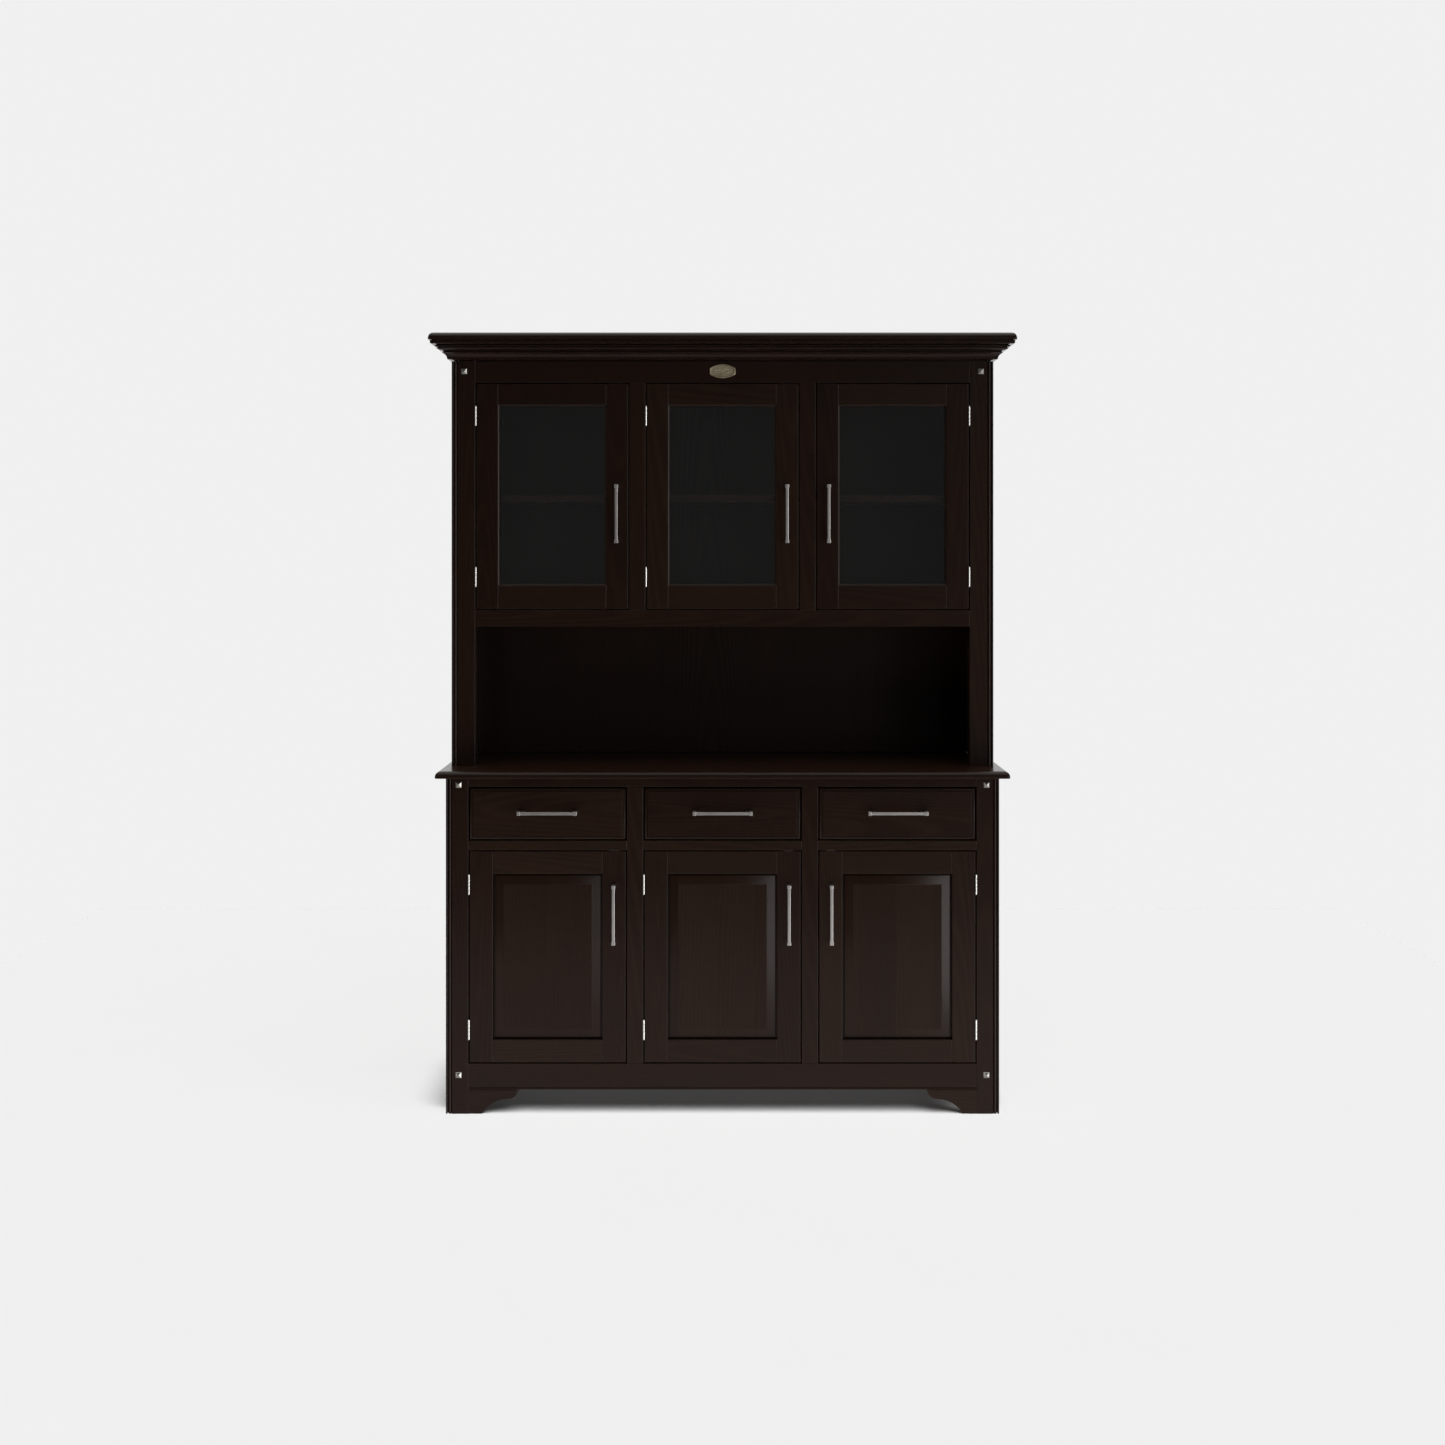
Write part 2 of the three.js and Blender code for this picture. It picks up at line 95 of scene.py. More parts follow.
# Hardware
handle_length = 0.152
handle_section = 0.010
handle_bar = 0.0074
handle_step = 0.0006
handle_leg = 0.017
handle_fillet = 0.008
handle_projection = 0.030
knuckle_radius = 0.0027
knuckle_forward = 0.0028
leaf_thickness = 0.0012
leaf_depth = 0.018
knuckle_count = 5
edge_bevel = 0.0003
stud_inset = 0.033
stud_half = 0.0075
stud_levels = {"hutch": 1.9037, "buffet_upper": 0.839, "buffet_lower": 0.099}
pin_levels = {"hutch": 1.46, "buffet": 0.29}
pin_pitch = 0.032
pin_count = 9
pin_inset = 0.035
back_screw_inset = 0.012
back_screws_across = 9
back_screws_up = 5
plate_thickness = 0.0015
plate_margin = 0.003
plate_reach = (0.045, 0.060)

# Camera
camera_distance = 4.66
camera_height = 1.4217
camera_lens = 45.527
camera_shift = -0.115

# Studio. A sun's azimuth is 0 from the front and 90 from the right, and its angles are in degrees.
floor_half = 2.5
backdrop = 0.871
floor_sun = {"azimuth": 24, "elevation": 60, "strength": 3.83, "spread": 56}
key_sun = {"azimuth": 35, "elevation": 10, "strength": 0.16, "spread": 40}
edge_sun = {"azimuth": 43, "elevation": -4, "strength": 1.9, "spread": 42}
top_sun = {"azimuth": 10, "elevation": 78, "strength": 0.15, "spread": 60}
under_strength = 0.095
under_size = (1.26, 0.38)
under_level = 0.100
room_front = 0.11
room_back = 0.75
room_above = 1.8
room_left = 0.15
room_soft = 0.03
low_boards = ("bracket_foot", "buffet_skirt", "buffet_floor", "buffet_end_left_bottom",
              "buffet_end_right_bottom")


def box_of(node):
    low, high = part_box(node)
    return [(low[axis], high[axis]) for axis in range(3)]


def placed(name, data):
    """A new object in the scene."""
    made = bpy.data.objects.new(name, data)
    bpy.context.scene.collection.objects.link(made)
    return made


# ---------- materials
def plug(tree, socket, value):
    if isinstance(value, bpy.types.NodeSocket):
        tree.links.new(value, socket)
    else:
        socket.default_value = value


class Shader:
    """A material with one Principled surface, and short ways to add the nodes that drive it."""

    def __init__(self, name, **surface):
        self.material = bpy.data.materials.new(name)
        self.material.use_nodes = True
        self.tree = self.material.node_tree
        self.surface = self.tree.nodes["Principled BSDF"]
        self.drive(**surface)

    @classmethod
    def bare(cls, holder):
        """The same short ways for a material or a world whose tree starts empty."""
        made = cls.__new__(cls)
        holder.use_nodes = True
        made.tree = holder.node_tree
        made.tree.nodes.clear()
        return made

    def drive(self, **inputs):
        for name, value in inputs.items():
            plug(self.tree, self.surface.inputs[name.replace("_", " ").title().replace("Ior", "IOR")], value)

    def node(self, kind, inputs=(), **settings):
        made = self.tree.nodes.new("ShaderNode" + kind)
        for name, value in settings.items():
            setattr(made, name, value)
        for key, value in dict(inputs).items():
            plug(self.tree, made.inputs[key], value)
        return made

    def attribute(self, name, output="Fac"):
        return self.node("Attribute", attribute_name=name).outputs[output]

    def sums(self, operation, *values):
        return self.node("Math", enumerate(values), operation=operation).outputs[0]

    def add(self, first, second):
        return self.sums("ADD", first, second)

    def times(self, first, second):
        return self.sums("MULTIPLY", first, second)

    def scaled(self, vector, scale, rotation=(0, 0, 0)):
        return self.node("Mapping", {"Vector": vector, "Scale": scale, "Rotation": rotation}).outputs[0]

    def vectors(self, operation, first, second):
        return self.node("VectorMath", {0: first, 1: second}, operation=operation).outputs[0]

    def noise(self, vector, scale, detail=2.0, roughness=0.5, output=0):
        inputs = {"Vector": vector, "Scale": scale, "Detail": detail, "Roughness": roughness}
        return self.node("TexNoise", inputs).outputs[output]

    def ramp(self, value, *stops):
        made = self.node("ValToRGB", {0: value})
        elements = made.color_ramp.elements
        while len(elements) < len(stops):
            elements.new(0.5)
        for element, (position, colour) in zip(elements, stops):
            element.position = position
            element.color = (*colour, 1)
        return made.outputs[0]

    def blend(self, factor, first, second, mode="MIX"):
        inputs = {0: factor, 6: first, 7: second}
        return self.node("Mix", inputs, data_type="RGBA", blend_type=mode, clamp_factor=True).outputs[2]

    def between(self, factor, first, second):
        return self.node("Mix", {0: factor, 2: first, 3: second}, data_type="FLOAT").outputs[0]

    def remap(self, value, low, high, from_low=0.0, from_high=1.0):
        return self.node("MapRange", {0: value, 1: from_low, 2: from_high, 3: low, 4: high}).outputs[0]

    def bump(self, height, strength, distance):
        inputs = {"Height": height, "Strength": strength, "Distance": distance}
        self.drive(normal=self.node("Bump", inputs).outputs[0])


def in_staves(shade, place, tone, width):
    """Divides a board into glued staves, each with its own place in a tree and its own tone."""
    parts = shade.node("SeparateXYZ", {0: place}).outputs
    index = shade.sums("FLOOR", shade.sums("DIVIDE", parts[0], width))
    seed = shade.add(index, shade.times(tone, 57.3))
    dice = shade.node("TexWhiteNoise", {"W": seed}, noise_dimensions="1D")
    within = shade.sums("SUBTRACT", parts[0], shade.times(index, width))
    inside = shade.node("CombineXYZ", {0: within, 1: parts[1], 2: parts[2]}).outputs[0]
    jump = shade.vectors("MULTIPLY", dice.outputs["Color"], (0.05, 0.06, 3.0))
    return shade.vectors("ADD", inside, jump), dice.outputs["Value"]


def wood(name, dark, middle, light, tint, worn, roughness, coat, specular, staves, ring_scale, bump):
    """Timber read from each board's own grain: growth rings, fibres, slow colour drift and rubbed edges."""
    shade = Shader(name, coat_weight=coat, coat_ior=1.17, coat_roughness=0.22, specular_ior_level=specular)
    place = shade.attribute("grain", "Vector")
    tone = shade.attribute("tone")
    if staves:
        place, tone = in_staves(shade, place, tone, staves)
    drift = shade.noise(shade.scaled(place, (6, 6, 0.9)), 1.0, 2.0, output="Color")
    bent = shade.vectors("ADD", place, shade.vectors("MULTIPLY", drift, (0.022, 0.022, 0.0)))
    rings = shade.node("TexWave", {
        "Vector": shade.scaled(bent, (1, 1, 1), (math.radians(1.6), math.radians(0.8), 0)),
        "Scale": ring_scale, "Distortion": 0.8, "Detail": 1.0, "Detail Scale": 2.0,
    }, wave_type="RINGS", rings_direction="Z").outputs["Fac"]
    ring = shade.sums("POWER", rings, 2.2)
    fibre = shade.noise(shade.scaled(place, (1, 1, 0.022)), 950.0, 3.0, 0.6)
    streak = shade.noise(shade.scaled(place, (1, 1, 0.03)), 150.0, 2.0)
    figure = shade.add(shade.times(ring, 0.42), shade.times(fibre, 0.34))
    figure = shade.add(figure, shade.times(streak, 0.24))
    colour = shade.ramp(figure, (0.16, dark), (0.42, middle), (0.80, light))
    cloud = shade.noise(shade.scaled(place, (1, 1, 0.3)), 14.0, 2.0)
    colour = shade.blend(shade.remap(cloud, 0.0, 0.7, 0.42, 0.75), colour, (*tint, 1))
    toned = shade.node("HueSaturation", {
        "Hue": shade.remap(tone, 0.494, 0.506), "Value": shade.remap(tone, 0.84, 1.16), "Color": colour,
    }).outputs[0]
    rub = shade.noise(place, 60.0, 3.0)
    rubbed = shade.times(shade.attribute("wear"), shade.remap(rub, 0.0, 0.6, 0.35, 0.7))
    shade.drive(base_color=shade.blend(rubbed, toned, (*worn, 1)))
    patch = shade.noise(place, 22.0, 3.0)
    uneven = shade.remap(patch, roughness - 0.05, roughness + 0.05)
    shade.drive(roughness=shade.add(shade.remap(fibre, -0.07, 0.07), uneven))
    height = shade.add(shade.times(fibre, 0.7), shade.times(rings, 0.3))
    shade.bump(height, bump, 0.0004)
    return shade.material


def stained_pine(name, staves=None):
    return wood(name, dark=(0.0208, 0.0094, 0.0052), middle=(0.0268, 0.0122, 0.0068),
                light=(0.0332, 0.0152, 0.0086), tint=(0.0345, 0.0138, 0.0074), worn=(0.050, 0.026, 0.015),
                roughness=0.31, coat=1.0, specular=0.07, staves=staves, ring_scale=62.0, bump=0.14)


def raw_pine(name):
    return wood(name, dark=(0.36, 0.21, 0.105), middle=(0.50, 0.325, 0.18), light=(0.60, 0.42, 0.25),
                tint=(0.55, 0.33, 0.17), worn=(0.58, 0.42, 0.26), roughness=0.55, coat=0.12, specular=0.4,
                staves=None, ring_scale=55.0, bump=0.35)


def backing_board():
    """The thin panel's bare rear face: pressed brown board with short fibres and a few scuffs."""
    shade = Shader("backing_board", specular_ior_level=0.3)
    place = shade.node("TexCoord").outputs["Object"]
    chips = shade.node("TexVoronoi", {"Vector": shade.scaled(place, (1, 1, 0.45)), "Scale": 420.0})
    fibre = shade.noise(place, 700.0, 4.0, 0.65)
    cloud = shade.noise(place, 6.0, 3.0)
    colour = shade.ramp(fibre, (0.3, (0.060, 0.036, 0.021)), (0.7, (0.105, 0.066, 0.040)))
    colour = shade.blend(shade.remap(cloud, 0.0, 0.5, 0.4, 0.8), colour, (0.070, 0.040, 0.024, 1))
    shade.drive(base_color=shade.blend(0.25, colour, chips.outputs["Color"], "SOFT_LIGHT"))
    shade.drive(roughness=shade.remap(fibre, 0.62, 0.85))
    shade.bump(shade.add(fibre, chips.outputs["Distance"]), 0.3, 0.0006)
    return shade.material


def brushed_metal(name, colour, roughness, stretch, scale=1500.0, tarnish=None):
    """Metal brushed finely along one direction, with soft wear and, if it is old, tarnish in places."""
    shade = Shader(name, metallic=1.0, anisotropic=0.3)
    place = shade.node("TexCoord").outputs["Object"]
    lines = shade.noise(shade.scaled(place, stretch), scale, 3.0, 0.6)
    patch = shade.noise(place, 45.0, 3.0)
    dull = tuple(0.82 * part for part in colour)
    base = shade.ramp(lines, (0.3, dull), (0.7, colour))
    if tarnish:
        base = shade.blend(shade.remap(patch, 0.0, 0.75, 0.45, 0.72), base, (*tarnish, 1))
    shade.drive(base_color=base)
    uneven = shade.remap(patch, roughness - 0.04, roughness + 0.05)
    shade.drive(roughness=shade.add(shade.remap(lines, -0.05, 0.07), uneven))
    shade.bump(lines, 0.12, 0.0001)
    return shade.material


def moulded_plastic(name, colour):
    shade = Shader(name, specular_ior_level=0.5)
    place = shade.node("TexCoord").outputs["Object"]
    grit = shade.noise(place, 2200.0, 3.0, 0.7)
    shade.drive(base_color=shade.ramp(grit, (0.2, tuple(0.8 * part for part in colour)), (0.8, colour)))
    shade.drive(roughness=shade.remap(grit, 0.42, 0.6))
    shade.bump(grit, 0.25, 0.0002)
    return shade.material


def pane_glass():
    """Clear float glass: it lets most light through, mirrors by angle, and carries a faint film of dust."""
    material = bpy.data.materials.new("pane_glass")
    shade = Shader.bare(material)
    place = shade.node("TexCoord").outputs["Object"]
    smear = shade.noise(shade.scaled(place, (1, 1, 0.35)), 7.0, 4.0, 0.6)
    facing = shade.node("LayerWeight", {"Blend": 0.5}).outputs["Facing"]
    fresnel = shade.remap(shade.sums("POWER", facing, 5.0), 0.04, 1.0)
    clear = shade.node("BsdfTransparent", {"Color": (0.925, 0.93, 0.925, 1)}).outputs[0]
    gloss = shade.node("BsdfGlossy", {
        "Color": (0.96, 0.96, 0.96, 1), "Roughness": shade.remap(smear, 0.01, 0.06, 0.4, 0.8),
    }).outputs[0]
    film = shade.node("BsdfDiffuse", {"Color": (0.30, 0.30, 0.30, 1)}).outputs[0]
    dust = shade.remap(smear, 0.001, 0.006, 0.35, 0.75)
    dusty = shade.node("MixShader", {0: dust, 1: clear, 2: film}).outputs[0]
    surface = shade.node("MixShader", {0: fresnel, 1: dusty, 2: gloss}).outputs[0]
    shade.node("OutputMaterial", {"Surface": surface})
    return material


def studio_floor():
    shade = Shader("studio_floor", roughness=0.9, specular_ior_level=0.0)
    place = shade.node("TexCoord").outputs["Object"]
    tooth = shade.noise(place, 3.0, 3.0)
    shade.drive(base_color=shade.ramp(tooth, (0.0, (0.795, 0.795, 0.795)), (1.0, (0.805, 0.805, 0.805))))
    return shade.material


PINE = stained_pine("stained_pine")
STAVED_PINE = stained_pine("stained_pine_staved", staves=0.096)
RAW_PINE = raw_pine("drawer_pine")
BACKING = backing_board()
GLASS = pane_glass()
NICKEL = brushed_metal("brushed_nickel", (0.46, 0.435, 0.42), 0.30, (1, 1, 0.02))
NICKEL_ACROSS = brushed_metal("brushed_nickel_across", (0.46, 0.435, 0.42), 0.30, (0.02, 1, 1))
HINGE_STEEL = brushed_metal("hinge_steel", (0.60, 0.585, 0.56), 0.24, (1, 1, 0.05))
STUD_STEEL = brushed_metal("stud_steel", (0.36, 0.345, 0.32), 0.34, (1, 1, 1), 320.0, (0.16, 0.145, 0.13))
ZINC = brushed_metal("zinc_screws", (0.56, 0.55, 0.52), 0.36, (1, 1, 1), 900.0, (0.26, 0.24, 0.21))
BRASS = brushed_metal("aged_brass", (0.35, 0.295, 0.205), 0.36, (0.3, 1, 1), 700.0, (0.17, 0.13, 0.075))
BROWN_PLASTIC = moulded_plastic("brown_plastic", (0.042, 0.024, 0.015))


# ---------- meshes
def solid(boxes, cuts=()):
    """A closed mesh of boxes less other boxes, each given as its X, Y and Z ranges."""
    planes = [sorted({round(edge, 6) for box in (*boxes, *cuts) for edge in box[axis]}) for axis in range(3)]

    def holds(box, point):
        return all(low < at < high for at, (low, high) in zip(point, box))

    filled = set()
    for cell in itertools.product(*(range(len(line) - 1) for line in planes)):
        middle = [(line[i] + line[i + 1]) / 2 for line, i in zip(planes, cell)]
        if any(holds(box, middle) for box in boxes) and not any(holds(cut, middle) for cut in cuts):
            filled.add(cell)
    mesh = bmesh.new()
    corners = {}
    for cell in sorted(filled):
        for axis, side in itertools.product(range(3), (0, 1)):
            beyond = list(cell)
            beyond[axis] += 2 * side - 1
            if tuple(beyond) in filled:
                continue
            across, up = (axis + 1) % 3, (axis + 2) % 3
            loop = []
            for step, rise in ((0, 0), (1, 0), (1, 1), (0, 1)) if side else ((0, 1), (1, 1), (1, 0), (0, 0)):
                key = list(cell)
                key[axis] += side
                key[across] += step
                key[up] += rise
                if tuple(key) not in corners:
                    corners[tuple(key)] = mesh.verts.new([line[i] for line, i in zip(planes, key)])
                loop.append(corners[tuple(key)])
            mesh.faces.new(loop)
    bmesh.ops.dissolve_limit(mesh, angle_limit=0.01, verts=mesh.verts, edges=mesh.edges)
    return mesh


def slab(*box):
    return solid([box])


def loft(rings):
    """Skins a stack of closed rings of points that all have the same number of points, and caps both ends."""
    mesh = bmesh.new()
    made = [[mesh.verts.new(point) for point in ring] for ring in rings]
    for first, second in zip(made, made[1:]):
        for i in range(len(first)):
            j = (i + 1) % len(first)
            mesh.faces.new((first[i], first[j], second[j], second[i]))
    mesh.faces.new(made[0])
    mesh.faces.new(made[-1])
    bmesh.ops.recalc_face_normals(mesh, faces=mesh.faces)
    return mesh


def prism(outline, axis, ends):
    """An outline carried along an axis. Its two coordinates are the other two axes, in their order."""
    across, up = [other for other in range(3) if other != axis]
    rings = []
    for end in ends:
        ring = []
        for u, v in outline:
            point = [0.0, 0.0, 0.0]
            point[axis], point[across], point[up] = end, u, v
            ring.append(point)
        rings.append(ring)
    return loft(rings)


def turned(profile, axis, place, direction=1, steps=18):
    """A (radius, height) profile turned round an axis through a place, with heights along the direction."""
    mesh = bmesh.new()
    across, up = (axis + 1) % 3, (axis + 2) % 3
    rings = []
    for radius, height in profile:
        ring = []
        for i in range(steps if radius else 1):
            angle = 2 * math.pi * i / steps
            point = list(place)
            point[axis] += direction * height
            point[across] += radius * math.cos(angle)
            point[up] += radius * math.sin(angle)
            ring.append(mesh.verts.new(point))
        rings.append(ring)
    for first, second in zip(rings, rings[1:]):
        for i in range(steps):
            j = (i + 1) % steps
            around = (first[i % len(first)], first[j % len(first)],
                      second[j % len(second)], second[i % len(second)])
            mesh.faces.new(tuple(dict.fromkeys(around)))
    for ring in (rings[0], rings[-1]):
        if len(ring) > 1:
            mesh.faces.new(ring)
    bmesh.ops.recalc_face_normals(mesh, faces=mesh.faces)
    return mesh


def merged(*parts):
    whole = bmesh.new()
    for part in parts:
        copies = {vert: whole.verts.new(vert.co) for vert in part.verts}
        for face in part.faces:
            whole.faces.new([copies[vert] for vert in face.verts])
        part.free()
    return whole


def ease(mesh, radius, steps=3):
    """Rounds over the sharp outer edges, and marks the points of the rounding as worn."""
    bmesh.ops.recalc_face_normals(mesh, faces=mesh.faces)
    worn = mesh.verts.layers.float.new("wear")
    sharp = [edge for edge in mesh.edges if edge.is_manifold and edge.is_convex
             and edge.calc_face_angle() > math.radians(30)]
    rounded = bmesh.ops.bevel(mesh, geom=sharp, offset=radius, segments=steps, profile=0.5,
                              affect="EDGES", clamp_overlap=True)["faces"]
    rounded = set(rounded)
    for vert in mesh.verts:
        vert[worn] = float(all(face in rounded for face in vert.link_faces))
    return mesh


def lay_grain(mesh, size, along):
    """Gives each vertex its place in the board's own tree: across, through and along the grain."""
    across, through = sorted((axis for axis in range(3) if axis != along), key=lambda axis: -size[axis])
    pith = Vector((rng.uniform(-0.02, 0.02), rng.choice((-1, 1)) * rng.uniform(0.035, 0.10),
                   rng.uniform(-4, 4)))
    shade = rng.random()
    grain = mesh.verts.layers.float_vector.new("grain")
    tone = mesh.verts.layers.float.new("tone")
    for vert in mesh.verts:
        vert[grain] = Vector((vert.co[across], vert.co[through], vert.co[along])) + pith
        vert[tone] = shade


def piece(name, mesh, material, body="root", stands_for=(), grain=None, radius=0.0, rear=None):
    """Makes a named piece of the cabinet with its origin at its middle, riding on a body of the frame."""
    if radius:
        ease(mesh, radius)
    low = Vector([min(vert.co[axis] for vert in mesh.verts) for axis in range(3)])
    high = Vector([max(vert.co[axis] for vert in mesh.verts) for axis in range(3)])
    middle = (low + high) / 2
    bmesh.ops.translate(mesh, verts=mesh.verts, vec=-middle)
    if grain:
        lay_grain(mesh, high - low, "xyz".index(grain))
    mesh.normal_update()
    for face in mesh.faces:
        face.smooth = True
        if rear and face.normal.y > 0.9:
            face.material_index = 1
    for edge in mesh.edges:
        edge.smooth = edge.is_manifold and edge.calc_face_angle() < math.radians(42)
    data = bpy.data.meshes.new(name)
    mesh.to_mesh(data)
    mesh.free()
    for each in filter(None, (material, rear)):
        data.materials.append(each)
    made = placed(name, data)
    made.location = middle
    normals = made.modifiers.new("even_normals", "WEIGHTED_NORMAL")
    normals.keep_sharp = True
    normals.weight = 80
    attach(made, body)
    if stands_for:
        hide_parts(*stands_for)
    return made


def board(name, mesh, grain, body="root", stands_for=(), radius=arris, staved=False, rear=None):
    material = STAVED_PINE if staved else PINE
    return piece(name, mesh, material, body, stands_for, grain, radius, rear)


def flat_board(node, mesh, radius=arris):
    """A wide board, glued up of staves along X, that stands for a node of the frame."""
    board(f"{node}_board", mesh, "x", stands_for=(node,), radius=radius, staved=True)


def raw_board(name, mesh, grain, body, stands_for=()):
    piece(name, mesh, RAW_PINE, body, stands_for, grain, drawer_wood_edge)


def quarter(steps):
    """The angles of a quarter turn from 0, in radians."""
    return [math.pi / 2 * i / steps for i in range(steps + 1)]


def arc(centre, radii, start, end, steps):
    """Points on an arc about a centre, between two angles in degrees."""
    points = []
    for i in range(steps + 1):
        angle = math.radians(start + (end - start) * i / steps)
        points.append((centre[0] + radii[0] * math.cos(angle), centre[1] + radii[1] * math.sin(angle)))
    return points


def curve(start, bend, end, steps=8):
    """Points after the start of a curve that leaves it towards the bend and arrives from there at the end."""
    points = []
    for i in range(1, steps + 1):
        t = i / steps
        points.append(tuple((1 - t) ** 2 * a + 2 * t * (1 - t) * b + t * t * c
                            for a, b, c in zip(start, bend, end)))
    return points


def rectangle_ring(x, z, inset, y):
    return [(x[0] + inset, y, z[0] + inset), (x[1] - inset, y, z[0] + inset),
            (x[1] - inset, y, z[1] - inset), (x[0] + inset, y, z[1] - inset)]


def mitred(body, part, profile, x, z, y):
    """Four mitred lengths round an opening, from a profile of (inset from its edge, depth behind y)."""
    turns = ((x[0], z[0], 1, 1), (x[1], z[0], -1, 1), (x[1], z[1], -1, -1), (x[0], z[1], 1, -1))
    corners = [[(u + du * inset, y + depth, v + dv * inset) for inset, depth in profile]
               for u, v, du, dv in turns]
    for i, side in enumerate(("bottom", "right", "top", "left")):
        length = loft([corners[i], corners[(i + 1) % 4]])
        board(f"{body}_{part}_{side}", length, "x" if i % 2 == 0 else "z", body, radius=0.0)


def side_range(sign, inner, outer):
    return (inner, outer) if sign > 0 else (-outer, -inner)


# ---------- carcass of both units
half_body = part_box("buffet_post_right")[1].x
half_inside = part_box("buffet_end_right")[0].x
back_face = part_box("buffet_end_right")[1].y
buffet_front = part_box("buffet_face_frame")[0].y
hutch_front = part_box("hutch_face_frame")[0].y
buffet_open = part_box("buffet_post_right")[0].x
buffet_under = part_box("buffet_top")[0].z
buffet_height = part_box("buffet_top")[1].z
skirt_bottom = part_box("buffet_face_frame")[0].z
cap_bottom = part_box("cornice_cap")[0].z
hutch_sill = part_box("hutch_floor")[1].z
niche_top = hutch_sill - sill_height
skirt_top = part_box("buffet_floor")[1].z
drawer_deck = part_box("drawer_left_front")[0].z - gap
top_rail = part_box("drawer_left_front")[1].z + gap
drawer_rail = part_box("buffet_door_left_frame")[1].z + gap
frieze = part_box("hutch_door_left_frame")[1].z + gap
hutch_open = -(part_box("hutch_door_left_frame")[0].x - gap)
back_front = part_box("hutch_back")[0].y


def bay_edges(unit, bay):
    low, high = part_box(f"{unit}_door_{bay}_frame")
    return low.x - gap, high.x + gap


def between_bays(unit):
    """The name and the X range of each of the two uprights between the bays."""
    for name, first, second in (("left", "left", "centre"), ("right", "centre", "right")):
        yield name, (bay_edges(unit, first)[1], bay_edges(unit, second)[0])


def post_outline(half_open, front):
    """Half a plan of a corner post, at the right: its outer front corner is a bead between two quirks."""
    def at(in_from_side, back):
        return half_body - in_from_side, front + back

    inner = arc((half_open + arris, front + arris), (arris, arris), 180, 270, 4)
    bead = [at(0.0104 - 0.0036 * math.cos(a), 0.0042 - 0.0039 * math.sin(a))
            for a in (math.pi * (1 - i / 10) for i in range(11))]
    strip = [at(0.0030 - 0.0030 * math.sin(a), 0.0032 - 0.0030 * math.cos(a)) for a in quarter(5)]
    return [(half_open, front + post_depth), *inner, at(0.0162, 0.0), at(0.0156, 0.0006), at(0.0154, 0.0034),
            at(0.0142, 0.0040), *bead, at(0.0066, 0.0090), at(0.0046, 0.0090), at(0.0042, 0.0008), *strip,
            at(0.0, post_depth)]


def corner_post(name, sign, half_open, front, levels, stands_for=(), quirk=None):
    """A corner post. Its quirk, if it has one, is a shadow line sawn round its front and side."""
    outline = post_outline(half_open, front)
    sizes = [(levels[0], 1.0), (levels[1], 1.0)]
    if quirk:
        sizes[1:1] = [(quirk[0], 1.0), (quirk[0] + 0.0001, 0.9), (quirk[1] - 0.0001, 0.9), (quirk[1], 1.0)]
    rings = []
    for level, size in sizes:
        rings.append([(sign * (half_open + (x - half_open) * size),
                       front + post_depth + (y - front - post_depth) * size, level) for x, y in outline])
    board(name, loft(rings), "z", stands_for=stands_for, radius=0.0)


def bracket(leg, direction):
    """A bracket foot's outline, from its leg: a toe, an ogee and a square shoulder under the skirt."""
    toe, shoulder, top = (0.034, 0.0), (0.098, 0.037), (0.126, skirt_bottom)
    points = [(0.0, skirt_bottom), (0.0, 0.0), toe, *curve(toe, (0.060, 0.036), shoulder),
              *curve(shoulder, (0.125, 0.038), top)]
    return [(leg + direction * out, z) for out, z in points]


def rounded_slab(x, y, z, radius, under, corner=0.006, steps=10):
    """A flat top with its front and side edges rounded over above and, by a smaller radius, below."""
    levels = [(under * (1 - math.cos(a)), z[0] + under * (1 - math.sin(a))) for a in quarter(4)[:0:-1]]
    levels += [(radius * (1 - math.cos(a)), z[1] - radius + radius * math.sin(a)) for a in quarter(steps)]
    rings = []
    for inset, level in levels:
        turn = max(corner - inset, 0.0003)
        left, right, front = x[0] + inset, x[1] - inset, y[0] + inset
        ring = [(right, y[1]), (left, y[1])]
        ring += arc((left + turn, front + turn), (turn, turn), 180, 270, 4)
        ring += arc((right - turn, front + turn), (turn, turn), 270, 360, 4)
        rings.append([(u, v, level) for u, v in ring])
    return loft(rings)


def notched(half_open, front, levels):
    """A board inside the carcass, cut round the two front posts."""
    return solid([
        ((-half_open, half_open), (front + board_thickness, front + post_depth), levels),
        ((-half_inside, half_inside), (front + post_depth, back_front), levels),
    ])


def carcass_end(unit, side, sign, front, levels, field):
    """One end: a sunk panel of upright staves between two rails, the post in front and a stile behind."""
    node = f"{unit}_end_{side}"
    start, rear = front + post_depth, back_face - rear_stile
    thick = side_range(sign, half_inside, half_body)
    sunk = side_range(sign, half_inside, half_body - end_recess)
    board(f"{node}_panel", slab(sunk, (start, rear), field), "z", stands_for=(node,), staved=True)
    board(f"{node}_rear_stile", slab(thick, (rear, back_face), levels), "z")
    board(f"{node}_top_rail", slab(thick, (start, rear), (field[1], levels[1])), "y")
    board(f"{node}_bottom_rail", slab(thick, (start, rear), (max(levels[0], skirt_bottom), field[0])), "y")
    if unit == "buffet":
        for place, leg, direction in (("front", start, 1), ("rear", rear, -1)):
            board(f"{node}_bracket_{place}", prism(bracket(leg, direction), 0, thick), "y")


